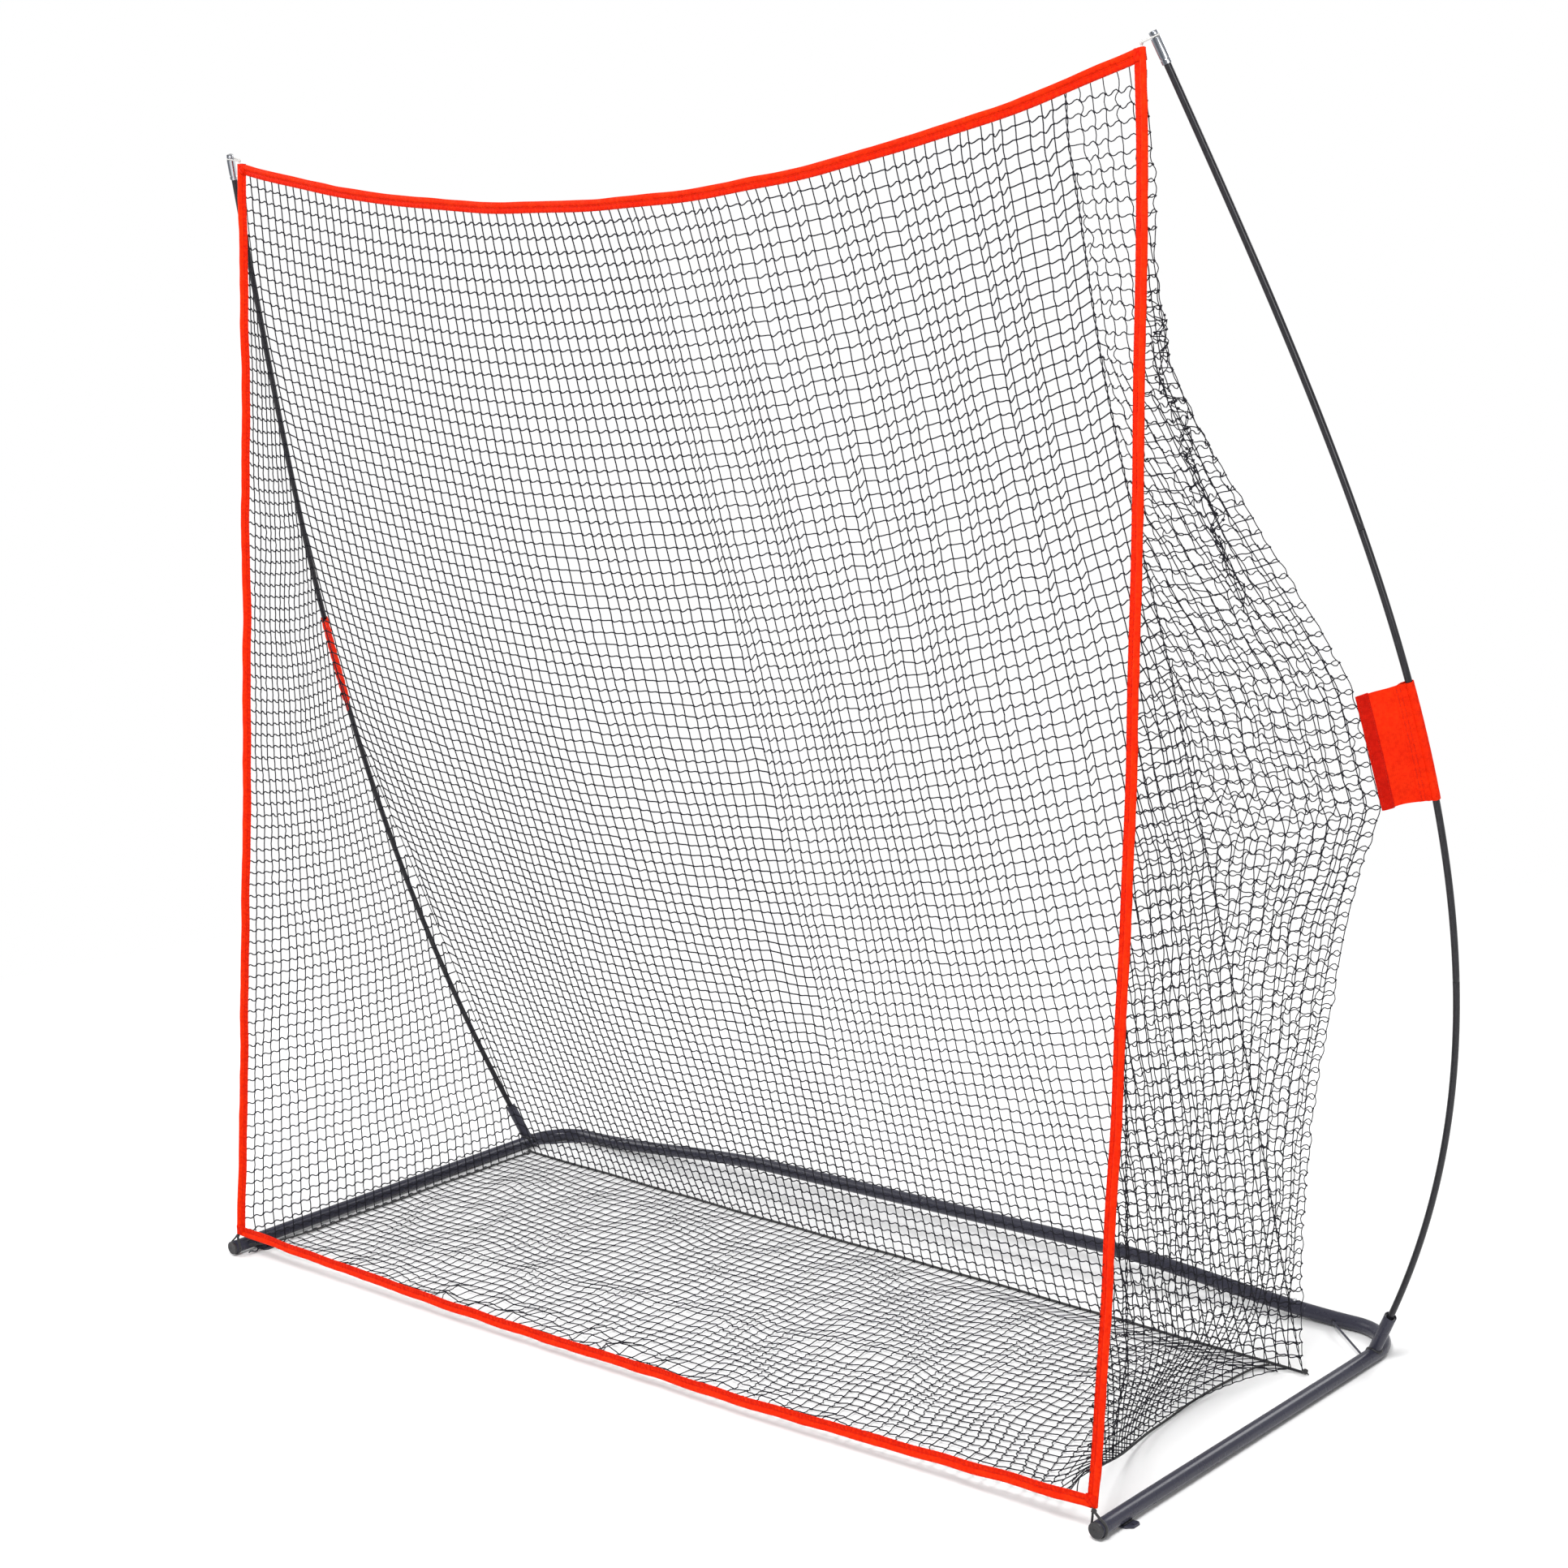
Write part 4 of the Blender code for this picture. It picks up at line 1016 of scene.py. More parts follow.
def borders():
    x = linspace(-TOP_C[0], TOP_C[0], 241)
    border("top", points(x, TOP_C[1], top_z(x)), UP, -1.0, 11, ride_bow)
    x = linspace(-BOT_C[0], BOT_C[0], 241)
    border("bottom", points(x, BOT_C[1], bottom_z(x)), UP, 1.0, 21, ride_base)
    overlap = BAND_W / 2 - 0.002
    z = linspace(BOT_C[2] - overlap, TOP_C[2] + overlap, 200)
    for word, side in SIDES:
        path = mirror(side_edge(z), side) + vec(0, 0.0010, 0)
        swing = np.radians(12 if side < 0 else -3)     # the net turns the band a little
        border(word, path, vec(cos(swing), sin(swing), 0), -side, 31 + int(side), flexing)


borders()

TAB_HALF_W, TAB_HALF_T = 0.0104, 0.0053


def corner_tab(name, centre, tilt, seed, body):
    """Tape folded over itself and sewn down: a creased, pillowed square."""
    n = 15
    X, Y = np.meshgrid(linspace(-1, 1, n), linspace(-1, 1, n))
    d = np.maximum(np.abs(X), np.abs(Y))
    thick = TAB_HALF_T * sqrt(np.maximum(1 - d ** 4, 0.0))
    rng = np.random.default_rng(seed)
    fold_a, fold_b = X + Y * 0.8, X - Y
    folds = 0.0009 * bell(fold_a, 0.2, 0.16) - 0.0008 * bell(fold_b, -0.3, 0.12)
    folds = folds + 0.0003 * sin(X * 7 + rng.uniform(0, 6)) * cos(Y * 6)
    x = TAB_HALF_W * (1 - 0.06 * Y ** 2) * X
    z = TAB_HALF_W * (1 - 0.06 * X ** 2) * Y
    x, z = x * cos(tilt) - z * sin(tilt), x * sin(tilt) + z * cos(tilt)
    front = points(x, -(thick + folds * (1 - d ** 6)), z).reshape(-1, 3)
    back = points(x, thick + folds * 0.6 * (1 - d ** 6), z).reshape(-1, 3)
    idx = np.arange(n * n).reshape(n, n)
    quads = np.stack([idx[:-1, :-1], idx[:-1, 1:], idx[1:, 1:], idx[1:, :-1]], -1).reshape(-1, 4)
    rim = np.concatenate([idx[0, :-1], idx[:-1, -1], idx[-1, :0:-1], idx[:0:-1, 0]])
    after = np.roll(rim, -1)
    walls = np.stack([after, rim, rim + n * n, after + n * n], -1)
    ob = make(name, np.concatenate([front, back]) + centre,
              [quads, quads[:, ::-1] + n * n, walls], M_CLOTH, fix=True)
    # painted shade: darker overall, more along the two folds and towards the rim
    tone = (0.34 + 0.5 * bell(fold_a, 0.34, 0.12) + 0.4 * bell(fold_b, -0.3, 0.10)
            + 0.3 * d ** 6).ravel()
    point_attribute(ob, "painted_shade_and_dye", np.clip(np.concatenate([tone, tone]), 0, 0.95))
    place(ob, body, "orange_red_cloth")


for word, side in SIDES:
    corner_tab(word + "_top_corner_tab", mirror(TOP_C + vec(-0.001, 0, -0.0015), side),
               side * 0.12, 5, "bow")
    corner_tab(word + "_bottom_corner_tab", mirror(BOT_C + vec(-0.001, 0, 0.001), side),
               side * 0.02, 6, "base")


# ------------------------------------------------------------------- the cords
def rope(name, path, radius, mat, pitch, closed=False, step=0.0016):
    """Laid rope: three round strands wound about the line."""
    if closed:
        path = np.concatenate([path, path[:1]])
    length = arc_length(path)
    s = linspace(0, length[-1], int(length[-1] / step) + 1)
    line = on_path(s, length, path)
    if closed:
        line, s = line[:-1], s[:-1]
        pitch = length[-1] / max(round(length[-1] / pitch), 1)
    _, across, ups = frames(line, closed)
    verts, faces, base = [], [], 0
    for k in range(3):
        a = (2 * pi * (s / pitch + k / 3))[:, None]
        strand = line + (across * cos(a) + ups * sin(a)) * (radius * 0.48)
        strand_verts, strand_faces = loft(tube_rings(strand, radius * 0.56, 8, closed),
                                          closed, base)
        verts.append(strand_verts)
        faces += strand_faces
        base += len(strand_verts)
    return make(name, np.concatenate(verts), faces, mat, fix=True)


def rear_cord():
    x = linspace(-FLOOR_C[-1.0][0], FLOOR_C[1.0][0], 160)
    path = points(x, rear_y(x) + 0.0015 + 0.0012 * sin(x * 5.0),
                  REAR_CORD_Z + 0.0006 * sin(x * 23.0))
    ob = rope("rear_floor_rope", path, CORD_R * 1.3, M_ELASTIC, 0.010)
    place(ob, "base", "black_elastic", "rear_floor_cord")


def side_cord(word, side):
    """Floor cord from the front border to the rear corner, and the knot there."""
    front, rear = -0.419, 0.232 if side > 0 else 0.314
    y = linspace(front, rear, 90)
    k = (y - front) / (rear - front)
    z = rope_z(y) if side > 0 else 0.0040 + 0.018 * exp(-k / 0.07)
    path = points(floor_side_x(y, side), y, z + 0.0006 * sin(y * 31))
    for _ in range(6):                  # round the kinks off
        path[1:-1] = (path[:-2] + 2 * path[1:-1] + path[2:]) / 4
    ob = rope(word + "_floor_rope", mirror(path, side), CORD_R * 1.1, M_ELASTIC, 0.009)
    place(ob, "base", "black_elastic", word + "_floor_cord")

    centre = mirror(FLOOR_C[side] + vec(0.003, 0.001, 0.0052), side)
    knot = blob(centre, (0.0052, 0.0042, 0.0044), M_ELASTIC, seed=9, amount=0.22)
    t = linspace(0, 1, 12)
    path = points(centre[0] + side * 0.0085 * t, centre[1] - 0.003 * t * t, 0.0052 - 0.0020 * t)
    tail = rod("tail", path, 0.0013 * (1 - 0.2 * t), M_ELASTIC, 10)
    place(join(word + "_floor_knot", [knot, tail]), "base", "black_elastic")


def teardrop(centre, apex, radius, across, arc_steps=40, leg_steps=12):
    """A loop round a centre, drawn to an apex."""
    tip_half = 0.0016
    reach = apex - centre
    dist = np.linalg.norm(reach)
    reach = reach / dist
    across = unit(across)
    opening = np.arccos(min(radius / dist, 0.98)) * 0.98
    a = linspace(opening, 2 * pi - opening, arc_steps + 1)[:, None]
    arc = centre + reach * (radius * cos(a)) + across * (radius * sin(a))
    far, near = apex - across * tip_half, apex + across * tip_half
    t = linspace(0, 1, leg_steps + 1)[1:, None]
    return np.concatenate([arc, arc[-1] + (far - arc[-1]) * t, (apex + reach * 0.0012)[None],
                           (near + (arc[0] - near) * t)[:-1]])


def top_loop(word, side):
    """White cord loop from the pole's neck to the top corner, and its knot."""
    tip, axis = pole_tip(side)
    neck = tip + axis * (NECK_START + NECK_H / 2)
    corner = mirror(TOP_C, side) + vec(side * 0.0045, 0, BAND_W * 0.5 + 0.002)
    apex = corner - axis * ((corner - neck) @ axis)
    path = teardrop(neck, apex, NECK_R + 0.0017, np.cross(axis, apex - neck))
    ob = rope(word + "_white_loop", path, 0.0014, M_CORD, 0.006, closed=True, step=0.0007)
    place(ob, "bow", "white_cord", word + "_top_loop")

    parts = [blob(apex + unit(apex - neck) * 0.0005, (0.0030, 0.0030, 0.0034), M_CORD,
                  seed=12, amount=0.2)]
    t = linspace(0, 1, 10)[:, None]
    low = mirror(TOP_C, side) + vec(side * 0.0015, -0.0010, 0.0030)
    for shift in (-0.0016, 0.0016):
        parts.append(rod("leg", apex + (low + vec(shift, 0, 0) - apex) * t, 0.0011, M_CORD, 10))
    place(join(word + "_loop_knot", parts), "bow", "white_cord")


def bottom_loop(word, side):
    """Flat elastic loop from the side tube to the bottom corner, and its knot."""
    y = FRONT_Y + CAP_FLANGE + 0.0055
    centre = vec(TRACK * side, y, side_z(y))
    apex = vec((BOT_C[0] + 0.006) * side, y, BOT_C[2] - BAND_W / 2 - 0.0022)
    path = teardrop(centre, apex, TUBE_R + 0.0013, np.cross(YDIR, apex - centre), 60, 14)
    path[:, 1] += 0.0005 * sin(3 * turn(len(path)))
    rings = tube_rings(path, 0.00130, 14, True, YDIR)
    # flat band: stretch the section along the tube
    rings[..., 1] = path[:, None, 1] + (rings[..., 1] - path[:, None, 1]) * 2.1
    rings[..., 1] += 0.00015 * sin(np.arange(len(path)) * 2.6)[:, None]
    ob = lofted(word + "_elastic_loop", rings, M_ELASTIC, closed=True)
    place(ob, "base", "black_elastic", word + "_bottom_loop")

    knot = blob(apex + vec(0, 0.001, 0.0008), (0.0042, 0.0034, 0.0030), M_ELASTIC,
                seed=14, amount=0.25)
    t = linspace(0, 1, 10)[:, None]
    top = vec((BOT_C[0] + 0.002) * side, BOT_C[1] - 0.0022, BOT_C[2] - 0.004)
    stem = rod("stem", apex + (top - apex) * t, 0.0016, M_ELASTIC, 12)
    place(join(word + "_elastic_knot", [knot, stem]), "base", "black_elastic")


rear_cord()
for word, side in SIDES:
    side_cord(word, side)
for word, side in SIDES:
    top_loop(word, side)
    bottom_loop(word, side)

# ---------------------------------------------------------------- pole sleeves
FLAP_POINTS = 26
FLAP_START = 0.012              # distance from the pole where the free flap begins


def sleeve_line():
    """Middle line of the cloth across the strip: flap, wrap, return hem.

    Columns are distance out from the pole and height off the flap's plane."""
    wrap_r = POLE_R + 0.0013
    line = [(SLEEVE_W - (SLEEVE_W - 0.016) * k / FLAP_POINTS, -0.0012 * sin(pi * k / FLAP_POINTS))
            for k in range(FLAP_POINTS)]
    line += [(0.0135, -wrap_r * 0.62), (0.0105, -wrap_r * 0.84)]
    for k in range(25):
        a = np.radians(-62 - 272 * k / 24)
        line.append((wrap_r * cos(a), wrap_r * sin(a)))
    return np.array(line + [(0.0100, 0.0030), (0.0140, 0.0008), (0.0190, 0.0004),
                            (0.0240, 0.0004)])


SLEEVE_LINE = sleeve_line()
SLEEVE_T = linspace(SLEEVE_T0, SLEEVE_T1, 56)
SLEEVE_K = linspace(-1, 1, len(SLEEVE_T))       # place along the sleeve
# at each station: pole centre, then directions along the pole, out and off the cloth
S_MID = pole_curve(SLEEVE_T)
S_ALONG = unit(pole_curve(SLEEVE_T + 0.003) - pole_curve(SLEEVE_T - 0.003))
S_OUT = SLEEVE_DIR + vec(0, 0, SLEEVE_DROP / SLEEVE_W)
S_OUT = unit(S_OUT - S_ALONG * (S_ALONG @ S_OUT)[:, None])
S_OFF = np.cross(S_ALONG, S_OUT)


def flap_share(out):
    return clamp((out - FLAP_START) / (SLEEVE_W - FLAP_START))


def flap_height(out):
    flap = SLEEVE_LINE[:FLAP_POINTS][::-1]
    return interp(out, flap[:, 0], flap[:, 1])


def hem_pull(k, f):
    """The hem is drawn between its corners, and stands out in the middle."""
    return 0.0015 * (1 - k ** 2) * f ** 2


def wrinkles(k, f):
    return (0.0016 * sin(3.1 * k + 2.2 * f + 0.5) + 0.0010 * sin(7.3 * k - 5.0 * f + 1.2)
            + 0.0007 * sin(13 * k + 8 * f)) * sin(pi * f) ** 0.8


def on_sleeve(out, off):
    return S_MID[:, None] + S_OUT[:, None] * out[..., None] + S_OFF[:, None] * off[..., None]


def sleeve_cloth(word, side):
    line, k = SLEEVE_LINE, SLEEVE_K[:, None]
    direction = unit(np.gradient(line, axis=0))
    normal = np.stack([-direction[:, 1], direction[:, 0]], -1)
    f = flap_share(line[:, 0])
    lift = wrinkles(k, f) + 0.0007 * bell(f, 0.03, 0.05) * sin(k * 26)
    curl = 0.0016 * sin(pi * f) * np.sign(k) * np.abs(k) ** 8      # curved ends
    faces = []
    for half in (0.00065, -0.00065):
        section = line + normal * half
        surface = on_sleeve(section[:, 0] + hem_pull(k, f), section[:, 1] + lift)
        faces.append(surface - S_ALONG[:, None] * curl[..., None])
    rings = np.concatenate([faces[0], faces[1][:, ::-1]], axis=1)
    ob = lofted(word + "_sleeve_cloth", mirror(rings, side), M_SLEEVE, sharp=60)
    place(ob, "bow", "orange_red_cloth", word + "_pole_sleeve")


def sleeve_hem(word, side):
    """Hem strip sewn over the net edge, on both faces."""
    lift, thick, swell = 0.0008, 0.0008, 0.00025
    out = linspace(SLEEVE_W - 0.0185, SLEEVE_W + 0.0012, 9)
    f, k = flap_share(out), SLEEVE_K[:, None]
    rounding = sqrt(np.maximum(1 - np.abs(linspace(-1, 1, 9)) ** 4, 0.0))
    faces = []
    for face in (1, -1):
        off = (flap_height(out) + wrinkles(k, f) + face * (lift + thick * rounding)
               + face * swell * sin(k * 24) * rounding)
        faces.append(on_sleeve(out + hem_pull(k, f), off))
    rings = np.concatenate([faces[0], faces[1][:, ::-1]], axis=1)
    ob = lofted(word + "_sleeve_hem", mirror(rings, side), M_HEM, sharp=60)
    place(ob, "bow", "orange_red_cloth")


# pocket seam and hem seams: distance out, lift on the one face and on the other
SLEEVE_SEAMS = ((0.0150, 0.00225, 0.00095), (0.0205, 0.00225, 0.00095),
                (SLEEVE_W - 0.0165, 0.00175, 0.00175), (SLEEVE_W - 0.0030, 0.00175, 0.00175))


def sleeve_stitches(word, side):
    share = np.arange(0.02, 0.985, 0.0042 / 0.19)      # stitch pitch over sleeve length
    last = len(SLEEVE_T) - 1
    i = np.clip((share * last).astype(int), 1, last - 1)
    k = SLEEVE_K[i]
    rows = []
    for out, *lifts in SLEEVE_SEAMS:
        f = flap_share(out)
        height = flap_height(out) + wrinkles(k, f)
        for face, lift in zip((1, -1), lifts):
            centre = (S_MID[i] + S_OUT[i] * (out + hem_pull(k, f))[:, None]
                      + S_OFF[i] * (height + face * lift)[:, None])
            rows.append(stitch_rings(centre, S_ALONG[i], S_OUT[i], S_OFF[i] * face,
                                     SLEEVE_THREAD))
    ob = stitches(word + "_sleeve_stitches", mirror(np.concatenate(rows), side))
    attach(ob, "bow")


for word, side in SIDES:
    sleeve_cloth(word, side)
    sleeve_hem(word, side)
    sleeve_stitches(word, side)

# ------------------------------------------------------------------ the netting
TWINE_R = 0.00101
TWINE_BACK, TWINE_LEFT = 0.00127, 0.00142       # right half of the back; left netting
COLUMN_THIN = 0.92                              # column twines against row twines
KNOT = 0.0021
UV_LANES = 700


class Net:
    """Collects twines and knots, and writes them as one object."""

    def __init__(self, name):
        self.name = name
        self.verts, self.tris, self.quads, self.uvs = [], [], [], []
        self.total, self.lane = 0, 0

    def add(self, verts, uv):
        self.verts.append(verts.reshape(-1, 3))
        self.uvs.append(uv)
        self.total += len(uv)

    def twine(self, path, radius, ref):
        """A closed three-sided tube along the path."""
        n = len(path)
        tangent = unit(np.gradient(path, axis=0))
        across = unit(np.cross(tangent, ref))
        other = np.cross(tangent, across)
        a = (turn(3) + 0.5)[:, None]
        rings = path[:, None] + radius * (across[:, None] * cos(a) + other[:, None] * sin(a))
        index = np.arange(n * 3).reshape(-1, 3) + self.total
        self.quads.append(bridge(index))
        self.tris += [index[0][::-1][None], index[-1][None]]
        lane = (self.lane % UV_LANES) / UV_LANES
        self.lane += 1
        self.add(rings, np.stack([np.repeat(linspace(0.002, 0.998, n), 3),
                                  lane + np.tile(linspace(0.1, 0.9, 3), n) / UV_LANES], -1))

    def knots(self, centres, radius, seed):
        """Small eight-faced knots, each turned a little differently."""
        rng = np.random.default_rng(seed)
        centres = centres.reshape(-1, 3)
        n = len(centres)
        a = unit(rng.normal(size=(n, 3)))
        b = unit(np.cross(a, rng.normal(size=(n, 3))))
        c = np.cross(a, b)
        size = radius * rng.uniform(0.85, 1.2, size=(n, 1))
        corners = centres[:, None] + np.stack([a, -a, b, -b, c, -c], 1) * size[:, None]
        faces = np.array([(0, 2, 4), (2, 1, 4), (1, 3, 4), (3, 0, 4),
                          (2, 0, 5), (1, 2, 5), (3, 1, 5), (0, 3, 5)])
        index = (np.arange(n) * 6)[:, None, None] + faces + self.total
        self.tris.append(index.reshape(-1, 3))
        # each knot has a small patch, 997 to a row
        patch = np.stack([(np.arange(n) % 997) / 997, (np.arange(n) // 997) / 60], -1)
        spread = np.array([(0, 0), (1, 0), (0, 1), (1, 1), (.5, 0), (.5, 1)]) * (0.0009, 0.01)
        self.add(corners, clamp((patch[:, None] + spread).reshape(-1, 2)))

    def build(self):
        ob = make(self.name, np.concatenate(self.verts),
                  [np.concatenate(self.quads), np.concatenate(self.tris)], M_TWINE,
                  uv=np.concatenate(self.uvs))
        return ob


def s_curve(steps, bias):
    """How slack twine hangs between knots: places, drops."""
    t = np.arange(steps) / steps
    return t, sin(2 * pi * t) + bias * sin(pi * t)


KINK = np.array((0.0, 0.18, 0.40, 0.72)), np.array((0.0, 1.15, 0.75, -0.45))


def row_twine(knots, slack_length, shape, seed, cap=0.0042, drop=-UP):
    """A row through knots; twine longer than a gap hangs in the given shape."""
    rng = np.random.default_rng(seed)
    gap = np.linalg.norm(np.diff(knots, axis=0), axis=1)
    slack = np.clip(slack_length / np.maximum(gap, 1e-4) - 1, 0.003, 0.5)
    depth = np.minimum(gap / pi * sqrt(slack), cap) * rng.uniform(0.75, 1.25, len(gap))
    t, drops = shape
    line = knots[:-1, None] + (knots[1:] - knots[:-1])[:, None] * t[:, None]
    line = line + drop * (drops * depth[:, None])[..., None]
    return np.concatenate([line.reshape(-1, 3), knots[-1:]])


def column_twine(knots, seed, sideways, steps, bow):
    """A column: near straight, bowed a little each way."""
    knots = np.asarray(knots, float)
    rng = np.random.default_rng(seed)
    t = np.arange(steps) / steps
    line = knots[:-1, None] + (knots[1:] - knots[:-1])[:, None] * t[:, None]
    amount = bow * rng.normal(size=(len(knots) - 1, 1))
    line = line + sideways * (sin(pi * t) * amount)[..., None]
    return np.concatenate([line.reshape(-1, 3), knots[-1:]])


def runs(index):
    """Splits rising numbers where they skip."""
    return np.split(index, np.flatnonzero(np.diff(index) > 1) + 1)


# fold line of the netting: top corner, pole sleeve, rear corner of the floor
SLEEVE_TOP_Z = sleeve_edge(SLEEVE_T1)[2]
SLEEVE_LOW_Z = sleeve_edge(SLEEVE_T0)[2]
FOLD_TOP = sleeve_edge(SLEEVE_T1) + SLEEVE_DIR * 0.001
FOLD_LOW = sleeve_edge(SLEEVE_T0) + SLEEVE_DIR * 0.001
# above the sleeve: share of the way down, then share of the way out on each side;
# the right side hangs slack, the left side is drawn tight
FOLD_DOWN = [0.0, 0.10, 0.20, 0.30, 0.36, 0.40, 0.464, 0.559, 0.654, 0.756, 0.853, 0.946, 1.0]
FOLD_OUT = {
    1.0: [0.0, 0.036, 0.068, 0.090, 0.112, 0.128, 0.168, 0.290, 0.432, 0.605, 0.770, 0.925, 1.0],
    -1.0: [0.0, 0.075, 0.165, 0.265, 0.325, 0.366, 0.432, 0.532, 0.632, 0.742, 0.843, 0.943, 1.0]}


def fold(z, side):
    """Point of the rear fold at height z, as if on the right side."""
    z = np.asarray(z, float)
    down = clamp((TOP_C[2] - z) / (TOP_C[2] - SLEEVE_TOP_Z))
    k = interp(down, FOLD_DOWN, FOLD_OUT[side])[..., None]
    corner = side_edge(np.maximum(z, 1.80)) + vec(0.001, 0.0045, 0)
    upper = corner + (FOLD_TOP - corner) * k
    w = clamp((SLEEVE_LOW_Z - z) / SLEEVE_LOW_Z)[..., None]
    to_floor = FLOOR_C[side] - FOLD_LOW
    if side > 0:
        lower = FOLD_LOW + to_floor * (1 - (1 - w) ** 2.05)
    else:
        lower = FOLD_LOW + to_floor * w + vec(0.018, 0.016, 0) * arch(w)
    m = clamp((SLEEVE_TOP_Z - z) / (SLEEVE_TOP_Z - SLEEVE_LOW_Z))[..., None]
    middle = FOLD_TOP + (FOLD_LOW - FOLD_TOP) * m
    out = np.where((z > SLEEVE_TOP_Z)[..., None], upper,
                   np.where((z < SLEEVE_LOW_Z)[..., None], lower, middle))
    out[..., 2] = z
    return out


# ----------------------------------------------------------- back panel
COLS_RIGHT, COLS_LEFT = 42, 53      # columns each side of the middle
COL_PITCH = 0.0216                  # at the top, left of the middle
ROWS = 92                           # from the top edge to the floor
SEAM_X = 0.905                      # half width of the back panel on the right, at the top
FLOOR_KNOT_Z = 0.0042


def seam_x(z):
    """Half width of the back panel on the right at height z."""
    v = clamp((2.05 - z) / 2.05)
    flare = clamp((v - 0.45) / 0.55) ** 1.5
    return SEAM_X + 0.012 * sin(pi * v) + (FLOOR_C[1.0][0] - SEAM_X) * flare


def back_y(x, z):
    """Flat slope from the top edge to the rear cord, sagging back."""
    v = clamp((2.0 - z) / 2.0)
    top = TOP_C[1] + 0.003
    y = top + (rear_y(x) - top) * v ** (1 + 0.30 * smooth(-x / 0.7))
    y += 0.020 * sin(pi * v) * (1 - 0.6 * clamp(np.abs(x) / 0.95) ** 2)
    # right: drawn out a little towards the pole; left: runs on to the fold
    right, left = fold(z, 1.0), fold(z, -1.0)
    draw = smooth((x - 0.45) / 0.60) ** 1.5
    y_right = y + (right[..., 1] - y) * 0.55 * draw * sin(pi * clamp(v * 0.98 + 0.01)) ** 0.5
    y_left = y + (left[..., 1] - y) * clamp(-x / np.maximum(left[..., 0], 0.1)) ** 2.2
    return np.where(x > 0, y_right, y_left)


def make_creases():
    """Creases below puckers in the top binding: x, depth, width, fade."""
    rng = np.random.default_rng(77)
    return [(x, rng.uniform(0.0035, 0.0075) * (1 if rng.random() < 0.8 else -0.7),
             rng.uniform(0.008, 0.016), rng.uniform(0.06, 0.26))
            for x in linspace(-0.84, 0.84, 15) + rng.uniform(-0.04, 0.04, 15)]


def crease_shifts(x, v):
    """Shifts in x, y and z near the creases."""
    dx, dy, dz = np.zeros((3, *x.shape))
    for centre, depth, width, fade in make_creases():
        q = (x - centre) / width
        e = exp(-q * q) * exp(-v / fade)
        dz += depth * q * e * 1.6
        dy += depth * 0.7 * e
        dx -= depth * 0.30 * q * e
    return dx, dy, dz


def back_grid():
    """Knots of the back panel before they settle, (rows, columns, 3)."""
    broad, mid = waves(51, 9, 0.6, 2.2), waves(52, 12, 2.5, 7)
    fine, medium = waves(53, 14, 8, 26), waves(55, 14, 5, 16)
    col, v = np.meshgrid(np.arange(-COLS_LEFT, COLS_RIGHT + 1), np.arange(ROWS + 1) / ROWS)
    belly = sin(pi * v)
    on_right = col > 0
    right = clamp(col / COLS_RIGHT)
    # left of the middle the columns spread as the panel widens to the fold
    x_left = np.minimum(col, 0) * COL_PITCH * (1 + 0.02 * v + 0.14 * belly)
    reach = fold(2.10 * (1 - v) - 0.04 * belly, -1.0)[..., 0]
    left = np.clip(-x_left / reach, 0, 1.15)
    z_top = top_z(np.where(on_right, right * SEAM_X, col * COL_PITCH)) - 0.0035
    z = z_top + (0.0050 - z_top) * v
    z -= 0.060 * belly ** 0.85 * (1 - np.maximum(right, np.minimum(left, 1)) ** 2)
    z += 0.078 * belly * np.where(on_right, right, x_left / SEAM_X * (1 - 0.63 * left))
    # columns on the right bunch and spread a little, less further down
    f = np.arange(COLS_RIGHT + 1) / COLS_RIGHT
    bunched = np.cumsum(1 + 0.13 * fine(f * 6, 0.3) + 0.10 * fine(f * 2.2, 4.3))
    bunched = (bunched - bunched[0]) / (bunched[-1] - bunched[0])
    bunched = np.concatenate([np.zeros(COLS_LEFT), bunched])
    share = right + (bunched - right) * (0.5 + 0.4 * cos(pi * v))
    x = np.where(on_right, share * seam_x(z), x_left)
    across = np.where(on_right, right, -left)
    free = belly ** 0.6 * clamp((1 - np.abs(across)) * 8)
    calm = 1 - 0.45 * smooth(-x / 0.6)
    x += (0.0016 * mid(across, v * 1.1) + 0.0006 * fine(across * 1.5, v * 3)) * free * calm
    z += (0.0016 * medium(across, v) + 0.0007 * fine(across * 2 + 3, v * 2)) * free * calm
    y = back_y(x, z) + (0.0050 * broad(across, v) + 0.0012 * mid(across + 5, v)) * free
    dx, dy, dz = crease_shifts(x, v)
    ends = clamp((1 - v) * 10)
    grid = points(x + dx * ends * free ** 0.3, y + dy * ends, z + dz * ends * clamp(v * 40))
    grid[0, :, 2] = top_z(grid[0, :, 0]) - 0.004
    grid[0, :, 1] = TOP_C[1] + 0.0012
    grid[-1, :, 1] = rear_y(grid[-1, :, 0]) + 0.0010
    grid[-1, :, 2] = FLOOR_KNOT_Z
    return grid


def settle(home, pinned, row_length, col_length, steps=160, sag=0.00004, pull_home=0.006):
    """Knots settle: twines may go slack but not stretch past their length."""
    grid = home.copy()
    moves = (~pinned)[..., None].astype(float)
    for _ in range(steps):
        grid[..., 2] -= sag * moves[..., 0]
        for nodes, free, length in (
                (grid.swapaxes(0, 1), moves.swapaxes(0, 1), row_length),
                (grid, moves, col_length)):
            for first in (0, 1):
                a, b = nodes[first:-1:2], nodes[first + 1::2]
                free_a, free_b = free[first:-1:2], free[first + 1::2]
                d = b - a
                gap = np.linalg.norm(d, axis=-1, keepdims=True)
                excess = np.maximum(gap - length, 0) / np.maximum(gap, 1e-9) * 0.5
                weight = np.maximum(free_a + free_b, 1e-9)
                a += d * excess * free_a / weight * 2 * 0.9
                b -= d * excess * free_b / weight * 2 * 0.9
        grid += (home - grid) * pull_home * moves
    return grid


